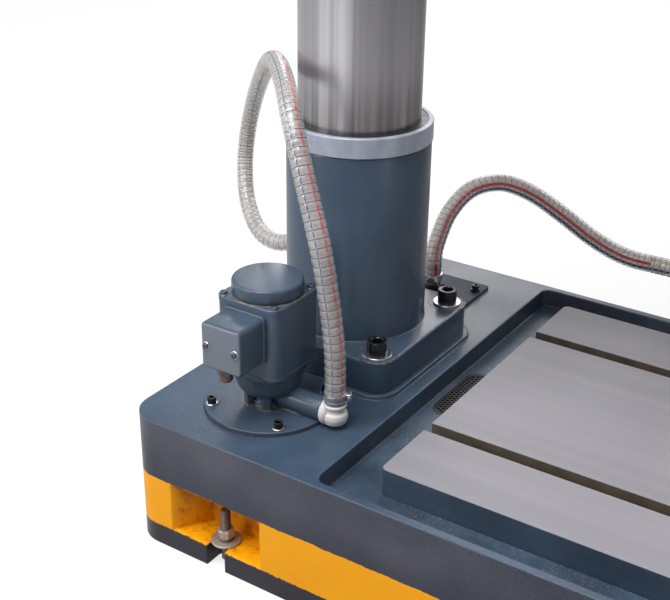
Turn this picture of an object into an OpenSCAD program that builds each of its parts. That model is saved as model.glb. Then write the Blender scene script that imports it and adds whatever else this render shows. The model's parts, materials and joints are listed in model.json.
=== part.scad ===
// Pillar drill with a geared head, a box base, a swinging table and flood coolant.
// Millimetres, +Z up, +Y to the rear. The origin is on the floor, under the column axis.

/* [Base] */
// Width of the base casting
base_w = 730; // [680:5:900]
// Distance from the column axis to the front end of the base
base_front = 760; // [740:5:1000]
// Distance from the column axis to the rear end of the base
base_rear = 152; // [150:1:300]
// Height of the rear deck above the floor
base_h = 208; // [200:1:260]
// Radius of the vertical corners of the base
base_corner_r = 45; // [30:1:70]
// Thickness of the side walls of the base
base_wall = 18; // [12:1:24]
// Thickness of the tank floor
tank_floor_t = 14; // [10:1:20]
// Thickness of the deck over the tank
deck_t = 22; // [16:1:26]

/* [Trough and table blocks] */
// Distance from the column axis to the step between deck and trough
step_y = 165; // [160:1:200]
// Depth of the trough below the deck
trough_depth = 31; // [24:1:36]
// Width of the rim round the trough
rim_w = 12; // [8:1:20]
// Radius of the trough's corners
trough_corner_r = 16; // [8:1:30]
// Distance from the column axis to the rear edge of the table blocks
block_y = 229; // [225:1:260]
// Length of the table blocks
block_len = 470; // [300:5:480]
// Width over the outer faces of the table blocks
block_w = 586; // [560:2:600]
// Height of the table blocks above the deck
block_rise = 10; // [4:1:20]
// Distance between the centres of the two T-slots
slot_pitch = 336; // [300:2:380]
// Width of a T-slot at its mouth
slot_mouth_w = 22; // [18:1:24]
// Width of a T-slot at its foot
slot_foot_w = 37; // [32:1:40]
// Height of the wide foot of a T-slot
slot_foot_h = 16; // [12:1:18]
// Length of the strainer slot
strainer_len = 142; // [100:1:180]
// Width of the strainer slot
strainer_w = 46; // [30:1:50]
// Thickness of the strainer grille
strainer_t = 3; // [2:1:5]

/* [Anchors] */
// Width of an anchor pocket at the side face
pocket_w = 160; // [140:2:170]
// Width of an anchor pocket at its back wall
pocket_back_w = 90; // [80:2:120]
// Depth of an anchor pocket
pocket_depth = 53; // [48:1:56]
// Height of the pocket floor above the ground
pocket_floor_h = 34; // [28:1:40]
// Height of an anchor pocket
pocket_h = 80; // [70:1:90]
// Distance from the column axis to the rear pair of pockets
pocket_rear_y = 4; // [0:1:20]
// Distance between the rear and the front pair of pockets
pocket_pitch = 600; // [560:5:640]
// Width of the slot for an anchor bolt
anchor_slot_w = 32; // [26:1:36]
// Distance of an anchor bolt from the side face
anchor_inset = 25; // [22:1:30]
// Diameter of an anchor bolt
anchor_d = 14; // [12:1:16]
// Outer diameter of an anchor washer
anchor_washer_d = 44; // [38:1:48]
// Width across flats of an anchor nut
anchor_nut_af = 22; // [20:1:24]

/* [Column and foot] */
// Diameter of the column
column_d = 180; // [160:1:190]
// Height of the top of the column above the ground
column_top = 2010; // [1980:5:2015]
// Wall of the column tube
column_wall = 16; // [10:1:25]
// Side of the square foot plate
foot_plate_w = 268; // [260:1:280]
// Thickness of the foot plate
foot_plate_t = 50; // [35:1:60]
// Radius of the corners of the foot plate
foot_corner_r = 30; // [15:1:40]
// Outer diameter of the foot barrel
foot_barrel_d = 214; // [210:1:220]
// Height of the top of the foot above the deck
foot_h = 341; // [300:1:360]
// Height of the pad under the foot
foot_pad_h = 6; // [3:1:10]
// Border of the pad round the foot plate
foot_pad_border = 8; // [4:1:12]
// Distance of a foot bolt from the column axis, along X and along Y
foot_bolt_pos = 105; // [104:1:108]
// Diameter of a foot bolt
foot_bolt_d = 20; // [16:1:24]
// Outer diameter of a foot washer
foot_washer_d = 44; // [40:1:48]
// Thickness of a foot washer
foot_washer_t = 4; // [3:1:6]
// Diameter of a spotface
spotface_d = 57; // [50:1:58]
// Height of a rack ring
ring_h = 30; // [24:1:36]
// Outer diameter of a rack ring
ring_d = 217; // [214:1:220]
// Wall of a rack ring
ring_wall = 8; // [4:1:9]

/* [Coolant pump] */
// Distance of the pump axis from the column axis, to the left
pump_x = 227; // [225:1:250]
// Diameter of the pump flange
pump_flange_d = 188; // [180:1:190]
// Thickness of the pump flange
pump_flange_t = 6; // [5:1:9]
// Radius of the circle of flange screws
pump_screw_r = 83; // [78:1:84]
// Outer diameter of the pump neck
pump_neck_d = 62; // [56:1:70]
// Height of the pump neck above the flange
pump_neck_h = 32; // [32:1:34]
// Diameter of the pump bowl at its rim
pump_bowl_d = 98; // [90:1:100]
// Height of the pump bowl
pump_bowl_h = 28; // [24:1:36]
// Side of the square motor body
pump_body_w = 104; // [98:1:106]
// Height of the motor body
pump_body_h = 113; // [100:1:130]
// Radius of the corners of the motor body
pump_body_r = 14; // [8:1:20]
// Diameter of the pump cap
pump_cap_d = 101; // [95:1:101]
// Height of the pump cap
pump_cap_h = 21; // [14:1:28]
// Diameter of the outlet pipe
outlet_d = 32; // [30:1:34]
// Reach of the outlet pipe from the pump axis
outlet_reach = 96; // [94:1:97]
// Outer diameter of the suction tube
suction_d = 34; // [28:1:40]
// Length of the suction tube below the deck
suction_len = 160; // [120:1:170]

/* [Terminal box] */
// Width of the terminal box
box_w = 67; // [60:1:74]
// Height of the terminal box
box_h = 68; // [60:1:76]
// Depth of the terminal box
box_depth = 52; // [36:1:56]
// Height of the bottom of the terminal box above the pump flange
box_rise = 92; // [84:1:100]
// Depth of the terminal box's lid
lid_depth = 18; // [12:1:24]

/* [Hoses] */
// Outer diameter of the hoses over the ribs
hose_d = 30; // [26:0.5:32]
// Radius of the pump outlet's elbow, under the end of its hose
elbow_r = 16.5; // [15:0.25:16.75]
// Bore of the hoses
hose_bore = 25; // [20:0.5:25]
// Distance between two ribs
rib_pitch = 31; // [30:1:40]
// Depth of the groove between two ribs
rib_depth = 1; // [0.5:0.1:1.2]

/* [Arm and table] */
// Outer diameter of the arm's collar round the column
collar_d = 256; // [250:1:260]
// Height of the collar
collar_h = 200; // [180:1:210]
// Height of the collar's lower face above the ground, at rest
collar_z = 880; // [870:1:890]
// Distance of the spindle and table axes from the column axis
throat = 420; // [415:1:450]
// Width of the arm
arm_w = 150; // [120:1:170]
// Diameter of the hub under the table
hub_d = 170; // [150:1:180]
// Side of the square table
table_w = 480; // [440:1:484]
// Thickness of the table
table_t = 58; // [50:1:64]
// Radius of the table's corners
table_corner_r = 40; // [36:1:60]
// Diameter of the stem under the table
stem_d = 80; // [70:1:90]
// Width of the rack
rack_w = 30; // [26:1:32]
// Distance of the rack's tooth tips from the column surface
rack_t = 22; // [20:1:24]
// Tooth module of the rack and the lift pinion
lift_module = 4; // [4:1:4]
// Number of teeth of the lift pinion
lift_teeth = 16; // [14:1:16]
// Length of the crank
crank_len = 110; // [90:1:112]

/* [Head and spindle] */
// Width of the head casting
head_w = 300; // [290:2:330]
// Height of the head's lower face above the ground
head_z = 1640; // [1630:1:1660]
// Height of the head casting
head_h = 380; // [370:1:400]
// Distance from the spindle axis to the head's front face
head_nose = 130; // [110:1:150]
// Distance from the column axis to the head's rear face
head_rear = 150; // [140:1:160]
// Diameter of the quill
quill_d = 90; // [80:1:96]
// Diameter of the spindle
spindle_d = 52; // [44:1:56]
// Travel of the quill
quill_travel = 180; // [120:5:180]
// Diameter of the drill chuck
chuck_d = 62; // [54:1:66]
// Height of the drill chuck
chuck_h = 88; // [80:1:92]
// Diameter of the head motor
motor_d = 190; // [170:1:200]
// Height of the head motor
motor_h = 230; // [200:1:260]
// Length of a feed spoke
spoke_len = 150; // [120:1:160]
// Diameter of the ball knobs
knob_d = 34; // [28:1:38]

/* [Controls] */
// Diameter of a push button
button_d = 22; // [18:1:24]
// Travel of a push button
button_travel = 4; // [2:1:5]
// Diameter of the emergency stop
estop_d = 40; // [36:1:42]
// Length of a gear lever
lever_len = 90; // [70:1:95]

/* [Fits] */
// Radial clearance of a running or sliding fit
run_fit = 0.05; // [0.02:0.01:0.08]
// Gap between neighbours that must not touch
gap = 0.4; // [0.3:0.1:0.5]

/* [Hidden] */
$fn = 64;
eps = 0.01;

paint = [0.27, 0.33, 0.40];
ground_steel = [0.72, 0.72, 0.73];
black_oxide = [0.09, 0.09, 0.10];
zinc = [0.70, 0.71, 0.72];
clear_hose = [0.80, 0.78, 0.72];

deck_z = base_h;
trough_z = base_h - trough_depth;
block_top = base_h + block_rise;
tank_ceiling = trough_z - 15;
cavity_side = base_w / 2 - pocket_depth - 17;
foot_base = deck_z + foot_pad_h;
foot_plate_top = foot_base + foot_plate_t;
foot_top = deck_z + foot_h;
foot_boss_w = foot_plate_w + 20;
foot_boss_h = 46;
strainer_y = (step_y + block_y) / 2;

plate_x0 = foot_plate_w / 2 + foot_pad_border + 14;
plate_x1 = plate_x0 + 140;
plate_y = 86;
plate_t = 6;
plate_screw_inset = [31, 11];
fitting_at = [(plate_x0 + plate_x1) / 2, -12];
fitting_h = 14;
fitting_shank_r = 11;

pump_at = [-pump_x, 0];
pump_flange_top = deck_z + pump_flange_t;
bowl_z = pump_flange_top + pump_neck_h;
pump_body_z = bowl_z + pump_bowl_h;
pump_body_top = pump_body_z + pump_body_h;
outlet_z = pump_flange_top + outlet_d / 2 - 1;
elbow_y = -outlet_reach - 17.5;
hose1_z = outlet_z + 17;
spigot_d = hose_bore * cos(22.5) - 0.7;
box_z = pump_flange_top + box_rise;
gasket_t = 3;
gland_x = -gasket_t - (box_depth - lid_depth) / 2;

collar_top = collar_z + collar_h;
table_z = collar_top + 12;
table_top = table_z + table_t;
table_at = [0, -throat];
pinion_r = lift_module * lift_teeth / 2;
rack_tip = column_d / 2 + rack_t;
tooth_h = 2.25 * lift_module;
pinion_x = rack_tip - lift_module + pinion_r;
pinion_z = collar_z + 100;
rack_pitch = PI * lift_module;
worm_wheel_r = 38;
worm_wheel_teeth = 20;
worm_r = 13;
worm_z = pinion_z - worm_wheel_r - worm_r - gap;
worm_y = -column_d / 2 - 25;
gearbox_x = pinion_x + 46;
gearbox_y0 = worm_y - 25;
gearbox_y1 = rack_w / 2 + 25;
crank_x = -collar_d / 2 - 34;
drain_z = collar_z + 76;

head_top = head_z + head_h;
quill_z = head_z - 60;
quill_r = quill_d / 2;
spindle_r = spindle_d / 2;
nose_z = quill_z - 26;
chuck_z = nose_z - chuck_h;
guard_hinge = chuck_d / 2 + 40;
gear_module = 4;
sleeve_teeth = 50;
motor_teeth = 25;
motor_y = -throat + gear_module * (sleeve_teeth + motor_teeth) / 2;
gear_z = head_top - 90;
gear_h = 28;
quill_len = 310;
feed_z = head_z + 50;
feed_r = 20;
feed_teeth = 13;
feed_pitch = 10;
feed_slot_h = 6.4;
spoke_r = 7;
spoke_hub_r = 30;
spoke_root = 18;
feed_y = -throat + quill_r + feed_r - 4;
panel_z = head_z + 210;
button_z = panel_z + 40;
stem_r = 18;
stem_top = gear_z + 10 + quill_travel;
panel_t = 10;
panel_h = 110;
panel_side = 32;
head_front = -throat - head_nose;
upper_ring_z = head_z - ring_h - 30;
ring_cap_t = 12;

// Points of the pump hose, from the elbow over the loop and up behind the column
hose1_points = [
    [-227, -113.5, 246], [-227, -113.5, 288], [-227, -111, 334], [-226, -101, 400],
    [-222, -84, 470], [-208, -54, 536], [-193, -28, 586], [-171, 0, 625], [-126, 42, 648],
    [-58, 103, 650], [34, 184, 624], [124, 266, 574], [188, 330, 516], [220, 368, 462],
    [230, 386, 412], [222, 386, 362], [198, 366, 316], [172, 334, 287], [150, 298, 272],
    [138, 262, 268], [134, 226, 276], [136, 192, 298], [144, 164, 334], [152, 148, 384],
    [156, 148, 450], [160, 158, 560], [166, 174, 700], [168, 184, 850], [168, 186, 1000],
    [168, 186, 1150], [150, 196, 1270], [95, 210, 1370], [10, 216, 1450], [-80, 204, 1515],
    [-148, 168, 1580], [-176, 134, 1650], [-180, 122, 1700], [-180, 122, 1735]
];
// Points of the return hose, from the cover plate to its lowest place
hose2_points = [
    [226, -12, 228], [226, -12, 262], [236, -8, 285], [256, -7, 312], [276, -9, 336],
    [300, -20, 362], [320, -38, 379], [341, -66, 386], [356, -92, 381], [370, -126, 366],
    [384, -170, 338], [396, -218, 306], [406, -262, 284], [410, -300, 276], [411, -330, 276]
];
// Points of the return hose, from its lowest place to the arm
hose3_points = [
    [411, -330, 276], [412, -360, 276], [408, -404, 290], [396, -442, 330], [380, -468, 386],
    [360, -482, 450], [334, -488, 525], [304, -482, 605], [274, -468, 685], [246, -450, 760],
    [222, -432, 826], [210, -422, 872], [208, -420, drain_z - 58], [208, -420, drain_z - 31]
];

// A plate with round vertical corners, centred on the origin, with its foot at z = 0.
module round_plate(w, d, h, r) {
    translate([-w / 2 + r, -d / 2, 0]) cube([w - 2 * r, d, h]);
    translate([-w / 2, -d / 2 + r, 0]) cube([w, d - 2 * r, h]);
    for (x = [-1, 1], y = [-1, 1])
        translate([x * (w / 2 - r), y * (d / 2 - r), 0]) cylinder(r = r, h = h);
}

// A box given by its lowest and highest corners.
module span(a, b) {
    translate(a) cube(b - a);
}

// A cylinder along X, from x0 to x1.
module rod_x(x0, x1, r) {
    translate([x0, 0, 0]) rotate([0, 90, 0]) cylinder(r = r, h = x1 - x0);
}

// A cylinder along Y, from y0 to y1.
module rod_y(y0, y1, r) {
    translate([0, y0, 0]) rotate([-90, 0, 0]) cylinder(r = r, h = y1 - y0);
}

// A ring with its foot at z = 0.
module ring(r_out, r_in, h) {
    difference() {
        cylinder(r = r_out, h = h);
        translate([0, 0, -1]) cylinder(r = r_in, h = h + 2);
    }
}

// A hexagon prism of a given width across flats.
module hex(af, h) {
    cylinder(r = af / 2 / cos(30), h = h, $fn = 6);
}

// A spur gear along Z with narrow teeth, so that it never binds. One tooth points along +X.
module spur(teeth, m, h) {
    tip = m * (teeth / 2 + 0.7);
    cylinder(r = m * (teeth / 2 - 1.25), h = h);
    for (k = [0 : teeth - 1])
        rotate(360 / teeth * k) linear_extrude(h) polygon([
            [tip - 2.2 * m, -0.4 * m], [tip, -0.18 * m], [tip, 0.18 * m], [tip - 2.2 * m, 0.4 * m]
        ]);
}

// A socket head screw standing on z = 0, with its shank below.
module cap_screw(d, shank, head_h) {
    difference() {
        cylinder(r = 0.75 * d, h = head_h);
        translate([0, 0, head_h / 2]) hex(0.8 * d, head_h);
    }
    translate([0, 0, -shank]) cylinder(r = d / 2, h = shank + eps);
}

// Point and direction on a smooth curve through the points, at u from 0 to 1 in stretch i.
function curve_point(p, i, u) =
    let (n = len(p) - 1, a = p[max(i - 1, 0)], b = p[i], c = p[i + 1], d = p[min(i + 2, n)])
    0.5 * ((2 * b) + (c - a) * u + (2 * a - 5 * b + 4 * c - d) * u * u
        + (3 * b - a - 3 * c + d) * u * u * u);
function curve_dir(p, i, u) =
    let (n = len(p) - 1, a = p[max(i - 1, 0)], b = p[i], c = p[i + 1], d = p[min(i + 2, n)],
        v = (c - a) + 2 * (2 * a - 5 * b + 4 * c - d) * u + 3 * (3 * b - a - 3 * c + d) * u * u)
    v / norm(v);
// Stations of a hose: place, direction and radius, a groove and a crest for each rib.
function stretch_ribs(p, i) = max(1, round(norm(p[i + 1] - p[i]) / rib_pitch));
function hose_stations(p) =
    let (n = len(p) - 1)
    concat(
        [[p[0], (p[1] - p[0]) / norm(p[1] - p[0]), hose_d / 2]],
        [for (i = [1 : n - 2], k = [0 : stretch_ribs(p, i) - 1], half = [0, 0.5])
            let (u = (k + half) / stretch_ribs(p, i))
            [curve_point(p, i, u), curve_dir(p, i, u),
                half == 0 ? hose_d / 2 - rib_depth : hose_d / 2]],
        [[p[n - 1], curve_dir(p, n - 2, 1), hose_d / 2 - rib_depth],
            [p[n], (p[n] - p[n - 1]) / norm(p[n] - p[n - 1]), hose_d / 2]]
    );
hose_sides = 8;
// The ring of points round one station; side is a direction that the hose never runs along.
function hose_ring(place, dir, r, side) =
    let (a = cross(dir, side) / norm(cross(dir, side)), b = cross(dir, a))
    [for (k = [0 : hose_sides - 1])
        place + r * (a * cos(360 * k / hose_sides) + b * sin(360 * k / hose_sides))];
// Two triangles for each side between the rings that start at points a and b.
function band(a, b) =
    [for (k = [0 : hose_sides - 1])
        let (m = (k + 1) % hose_sides)
        each [[a + k, b + m, a + m], [a + k, b + k, b + m]]];

// One unbroken ribbed tube with its bore along the given points.
module ribbed_hose(p, side) {
    s = hose_stations(p);
    n = len(s);
    inner = n * hose_sides;
    points = concat(
        [for (q = s) each hose_ring(q[0], q[1], q[2], side)],
        [for (q = s) each hose_ring(q[0], q[1], hose_bore / 2, side)]
    );
    faces = concat(
        [for (i = [0 : n - 2]) each band(i * hose_sides, (i + 1) * hose_sides)],
        [for (i = [0 : n - 2]) each band(inner + (i + 1) * hose_sides, inner + i * hose_sides)],
        band(inner, 0),
        band((n - 1) * hose_sides, inner + (n - 1) * hose_sides)
    );
    polyhedron(points, faces);
}

module at_pockets() {
    for (x = [-1, 1], y = [-pocket_rear_y, -pocket_rear_y - pocket_pitch])
        translate([x * base_w / 2, y, 0]) rotate(x < 0 ? 0 : 180) children();
}

module anchor_pocket() {
    translate([0, 0, pocket_floor_h]) linear_extrude(pocket_h) polygon([
        [-1, -pocket_w / 2], [pocket_depth, -pocket_back_w / 2],
        [pocket_depth, pocket_back_w / 2], [-1, pocket_w / 2]
    ]);
    translate([0, 0, -1]) {
        span([-1, -anchor_slot_w / 2, 0], [anchor_inset, anchor_slot_w / 2, pocket_floor_h + 2]);
        translate([anchor_inset, 0, 0]) cylinder(d = anchor_slot_w, h = pocket_floor_h + 2);
    }
}

module tank_cavity() {
    front = base_front - base_wall;
    span([-cavity_side, -front, tank_floor_t], [cavity_side, -foot_boss_w / 2, tank_ceiling]);
    difference() {
        span([-cavity_side, -foot_boss_w / 2 - eps, tank_floor_t],
            [cavity_side, base_rear - base_wall, deck_z - deck_t]);
        span([-foot_boss_w / 2, -foot_boss_w / 2 - 1, deck_z - foot_boss_h - deck_t],
            [foot_boss_w / 2, base_rear, deck_z]);
    }
    bay_rear = -pocket_rear_y - pocket_w / 2 - 20;
    bay_front = -pocket_rear_y - pocket_pitch + pocket_w / 2 + 20;
    for (x = [-1, 1])
        translate([x > 0 ? cavity_side - eps : -base_w / 2 + base_wall, bay_front, tank_floor_t])
            cube([base_w / 2 - base_wall - cavity_side + eps, bay_rear - bay_front,
                tank_ceiling - tank_floor_t]);
}

module at_foot_bolts() {
    for (x = [-1, 1], y = [-1, 1])
        translate([x * foot_bolt_pos, y * foot_bolt_pos, 0]) children();
}

module at_plate_screws() {
    for (x = [plate_x0 + plate_screw_inset[0], plate_x1 - plate_screw_inset[0]], y = [-1, 1])
        translate([x, y * (plate_y - plate_screw_inset[1]), 0]) children();
}

module strainer_shape(grow, h) {
    span([-strainer_len / 2 + strainer_w / 2, -strainer_w / 2 - grow, 0],
        [strainer_len / 2 - strainer_w / 2, strainer_w / 2 + grow, h]);
    for (x = [-1, 1])
        translate([x * (strainer_len - strainer_w) / 2, 0, 0])
            cylinder(r = strainer_w / 2 + grow, h = h);
}

module base_casting() {
    length = base_front + base_rear;
    trough_len = base_front - rim_w - step_y;
    color(paint) difference() {
        union() {
            difference() {
                translate([0, base_rear - length / 2, 0])
                    round_plate(base_w, length, base_h, base_corner_r);
                translate([0, -step_y - trough_len / 2, trough_z])
                    round_plate(base_w - 2 * rim_w, trough_len, trough_depth + 1, trough_corner_r);
            }
            translate([0, 0, deck_z - 1])
                round_plate(foot_plate_w + 2 * foot_pad_border, foot_plate_w + 2 * foot_pad_border,
                    foot_pad_h + 1, foot_corner_r + foot_pad_border);
        }
        tank_cavity();
        translate([pump_at[0], pump_at[1], deck_z])
            cylinder(d = pump_flange_d + 2, h = foot_pad_h + 1);
        translate([0, -strainer_y, tank_ceiling - 1]) strainer_shape(-3, 20);
        translate([0, -strainer_y, trough_z - strainer_t]) strainer_shape(0, strainer_t + 1);
        translate([pump_at[0], pump_at[1], deck_z - deck_t - 1])
            cylinder(d = suction_d + 14, h = deck_t + 2);
        span([plate_x0 + 20, -plate_y + 24, deck_z - deck_t - 1],
            [plate_x1 - 20, plate_y - 24, deck_z + 1]);
        at_pockets() anchor_pocket();
        at_foot_bolts() translate([0, 0, deck_z - 42]) cylinder(d = foot_bolt_d, h = 60);
        at_plate_screws() translate([0, 0, deck_z - 14]) cylinder(d = 8, h = 20);
        for (a = [45 : 90 : 315])
            translate([pump_at[0] + pump_screw_r * cos(a), pump_screw_r * sin(a), deck_z - 14])
                cylinder(d = 8, h = 20);
    }
}

module base_table() {
    color(paint) for (x = [[-block_w / 2, -slot_pitch / 2 - slot_mouth_w / 2],
            [-slot_pitch / 2 + slot_mouth_w / 2, slot_pitch / 2 - slot_mouth_w / 2],
            [slot_pitch / 2 + slot_mouth_w / 2, block_w / 2]])
        difference() {
            span([x[0], -block_y - block_len, trough_z], [x[1], -block_y, block_top]);
            for (side = [-1, 1])
                span([side * slot_pitch / 2 - slot_foot_w / 2, -block_y - block_len - 1, trough_z - 1],
                    [side * slot_pitch / 2 + slot_foot_w / 2, -block_y + 1, trough_z + slot_foot_h]);
        }
}

module strainer_grille() {
    color(black_oxide) translate([0, -strainer_y, trough_z - strainer_t]) difference() {
        strainer_shape(-0.2, strainer_t - 0.5);
        for (x = [-strainer_len / 2 + 16 : 10 : strainer_len / 2 - 16])
            translate([x - 3, -strainer_w / 2 + 8, -1]) cube([6, strainer_w - 16, strainer_t + 2]);
    }
}

module tank_cover_plate() {
    color(paint) difference() {
        translate([(plate_x0 + plate_x1) / 2, 0, deck_z])
            round_plate(plate_x1 - plate_x0, 2 * plate_y, plate_t, 4);
        translate([fitting_at[0], fitting_at[1], deck_z - 1])
            cylinder(r = fitting_shank_r + run_fit, h = plate_t + 2);
        at_plate_screws() translate([0, 0, deck_z - 1]) cylinder(d = 8.4, h = plate_t + 2);
    }
}

module cover_screws() {
    color(black_oxide) at_plate_screws() translate([0, 0, deck_z + plate_t]) cap_screw(8, 18, 8);
}

module return_fitting() {
    color(zinc) translate([fitting_at[0], fitting_at[1], deck_z + plate_t]) difference() {
        union() {
            hex(34, fitting_h);
            translate([0, 0, -20]) cylinder(r = fitting_shank_r, h = 21);
            cylinder(d = spigot_d, h = fitting_h + 34);
        }
        translate([0, 0, -21]) cylinder(r = 8, h = 100);
    }
}

module anchor_bolts() {
    color(zinc) at_pockets() translate([anchor_inset, 0, 0]) {
        translate([0, 0, 3]) cylinder(d = anchor_d, h = pocket_floor_h + 51);
        translate([0, 0, pocket_floor_h + 3.5]) difference() {
            hex(anchor_nut_af, 18);
            translate([0, 0, -1]) cylinder(d = anchor_d, h = 20);
        }
    }
}

module anchor_washers() {
    color(zinc) at_pockets() translate([anchor_inset, 0, pocket_floor_h])
        ring(anchor_washer_d / 2, anchor_d / 2 + 0.5, 3.5);
}

module column_foot() {
    color(paint) difference() {
        union() {
            translate([0, 0, foot_base])
                round_plate(foot_plate_w, foot_plate_w, foot_plate_t, foot_corner_r);
            translate([0, 0, foot_base]) cylinder(d = foot_barrel_d, h = foot_top - foot_base);
        }
        translate([0, 0, foot_base - 1])
            cylinder(r = column_d / 2 + run_fit, h = foot_top - foot_base + 2);
        at_foot_bolts() {
            translate([0, 0, foot_base - 1]) cylinder(d = foot_bolt_d + 2, h = foot_plate_t + 2);
            translate([0, 0, foot_plate_top - 1]) cylinder(d = spotface_d, h = 40);
        }
    }
}

module foot_bolts() {
    color(black_oxide) at_foot_bolts()
        translate([0, 0, foot_plate_top - 1 + foot_washer_t])
            cap_screw(foot_bolt_d, foot_plate_t + foot_washer_t + 38, foot_bolt_d);
}

module foot_washers() {
    color(zinc) at_foot_bolts() translate([0, 0, foot_plate_top - 1])
        ring(foot_washer_d / 2, foot_bolt_d / 2 + 0.5, foot_washer_t);
}

module column_tube() {
    color(ground_steel) translate([0, 0, foot_base])
        ring(column_d / 2, column_d / 2 - column_wall, column_top - foot_base);
}

module rack_rings() {
    color(zinc) {
        translate([0, 0, foot_top]) ring(ring_d / 2, ring_d / 2 - ring_wall, ring_h);
        translate([0, 0, upper_ring_z]) {
            ring(ring_d / 2, ring_d / 2 - ring_wall, ring_h);
            translate([0, 0, ring_h - eps]) ring(ring_d / 2, column_d / 2 + run_fit, ring_cap_t);
        }
    }
}

module pump_base() {
    color(paint) translate([pump_at[0], pump_at[1], 0]) difference() {
        union() {
            translate([0, 0, deck_z]) cylinder(d = pump_flange_d, h = pump_flange_t);
            translate([0, 0, deck_z]) cylinder(d = pump_neck_d, h = bowl_z - deck_z);
            translate([0, 0, outlet_z]) rod_y(-outlet_reach, -20, outlet_d / 2);
        }
        translate([0, 0, deck_z - 1]) cylinder(d = suction_d - 6, h = pump_flange_t + 5);
        translate([0, 0, pump_flange_top + 2]) cylinder(d = pump_neck_d - 14, h = pump_neck_h);
        translate([0, 0, outlet_z]) rod_y(-outlet_reach - 1, -15, 11);
        for (a = [90, 210, 330])
            rotate(a) translate([10, -12, pump_flange_top + 4]) cube([40, 24, pump_neck_h - 10]);
        for (a = [45 : 90 : 315])
            translate([pump_screw_r * cos(a), pump_screw_r * sin(a), deck_z - 1])
                cylinder(d = 9, h = 20);
    }
}

module pump_bowl() {
    color(paint) translate([pump_at[0], pump_at[1], bowl_z]) difference() {
        rotate_extrude() polygon([
            [0, 0], [pump_neck_d / 2, 0], [pump_bowl_d / 2 - 8, 7], [pump_bowl_d / 2 - 2, 18],
            [pump_bowl_d / 2, pump_bowl_h], [0, pump_bowl_h]
        ]);
        translate([0, 0, 10]) cylinder(d = pump_bowl_d - 26, h = pump_bowl_h);
        translate([0, 0, -1]) cylinder(r = 6 + run_fit, h = 30);
    }
}

module pump_body() {
    color(paint) translate([pump_at[0], pump_at[1], pump_body_z]) difference() {
        round_plate(pump_body_w, pump_body_w, pump_body_h, pump_body_r);
        translate([0, 0, 6]) cylinder(d = pump_body_w - 20, h = pump_body_h - 12);
        translate([0, 0, -1]) cylinder(d = pump_bowl_d - 26, h = 10);
        cylinder(r = 6 + run_fit, h = pump_body_h + 1);
        for (x = [-1, 1], y = [-1, 1])
            translate([x * 43, y * 43, pump_body_h - 12]) cylinder(d = 5, h = 20);
    }
}

module pump_cap() {
    color(paint) translate([pump_at[0], pump_at[1], pump_body_top]) difference() {
        union() {
            cylinder(d = pump_cap_d, h = pump_cap_h - 3);
            translate([0, 0, pump_cap_h - 3 - eps]) cylinder(d = pump_cap_d - 6, h = 3);
        }
        translate([0, 0, -1]) cylinder(d = pump_cap_d - 10, h = pump_cap_h - 4);
    }
}

module pump_screws() {
    color(black_oxide) translate([pump_at[0], pump_at[1], 0]) {
        for (a = [45 : 90 : 315])
            translate([pump_screw_r * cos(a), pump_screw_r * sin(a), pump_flange_top]) {
                ring(8, 4, 1.5);
                translate([0, 0, 1.5]) cap_screw(8, 18, 8);
            }
        for (x = [-1, 1], y = [-1, 1])
            translate([x * 43, y * 43, pump_body_top]) {
                cylinder(r = 4.5, h = 3);
                translate([0, 0, -11]) cylinder(d = 5, h = 12);
            }
        for (y = [-1, 1])
            translate([-pump_body_w / 2 - box_depth - gasket_t, y * 24, box_z + box_h / 2])
                rod_x(-2.5, 0, 4);
    }
}

module suction_tube() {
    color(zinc) translate([pump_at[0], pump_at[1], deck_z - suction_len]) difference() {
        union() {
            cylinder(d = suction_d, h = suction_len);
            translate([0, 0, 0]) cylinder(d = suction_d + 12, h = 40);
        }
        translate([0, 0, 4]) cylinder(d = suction_d - 6, h = suction_len);
        translate([0, 0, 4]) cylinder(d = suction_d + 6, h = 32);
        translate([0, 0, -1]) cylinder(r = 9, h = 10);
    }
}

module pump_rotor() {
    rotor_z = pump_body_z + 14;
    color(ground_steel) translate([pump_at[0], pump_at[1], 0]) {
        translate([0, 0, deck_z - suction_len + 14])
            cylinder(r = 6, h = rotor_z + 80 - deck_z + suction_len - 14);
        translate([0, 0, deck_z - suction_len + 12]) cylinder(r = suction_d / 2 - 1, h = 5);
        for (a = [0 : 60 : 300])
            translate([0, 0, deck_z - suction_len + 17 - eps]) rotate(a)
                translate([4, -1, 0]) cube([suction_d / 2 - 6, 2, 8]);
        translate([0, 0, rotor_z]) cylinder(r = 26, h = 62);
        translate([0, 0, pump_body_top + 2]) cylinder(r = 6, h = pump_cap_h - 10);
        translate([0, 0, rotor_z + 70]) cylinder(r = 6, h = pump_body_top - rotor_z - 60);
        translate([0, 0, pump_body_top + 2]) cylinder(r = 40, h = 2);
        for (a = [0 : 45 : 315])
            translate([0, 0, pump_body_top + 4 - eps]) rotate(a)
                translate([10, -1, 0]) cube([28, 2, pump_cap_h - 14]);
    }
}

module on_box_face() {
    translate([pump_at[0] - pump_body_w / 2, pump_at[1], box_z]) children();
}

module terminal_box() {
    seam = -gasket_t - box_depth + lid_depth;
    color(paint) on_box_face() difference() {
        span([seam, -box_w / 2, 0], [-gasket_t, box_w / 2, box_h]);
        span([seam - 1, -box_w / 2 + 5, 5], [1, box_w / 2 - 5, box_h - 5]);
        translate([gland_x, 0, -1]) cylinder(r = 8, h = 10);
    }
}

module box_gasket() {
    color(black_oxide) on_box_face() difference() {
        span([-gasket_t, -box_w / 2 - 2, -2], [0, box_w / 2 + 2, box_h + 3]);
        span([-gasket_t - 1, -box_w / 2 + 5, 5], [1, box_w / 2 - 5, box_h - 5]);
    }
}

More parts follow.
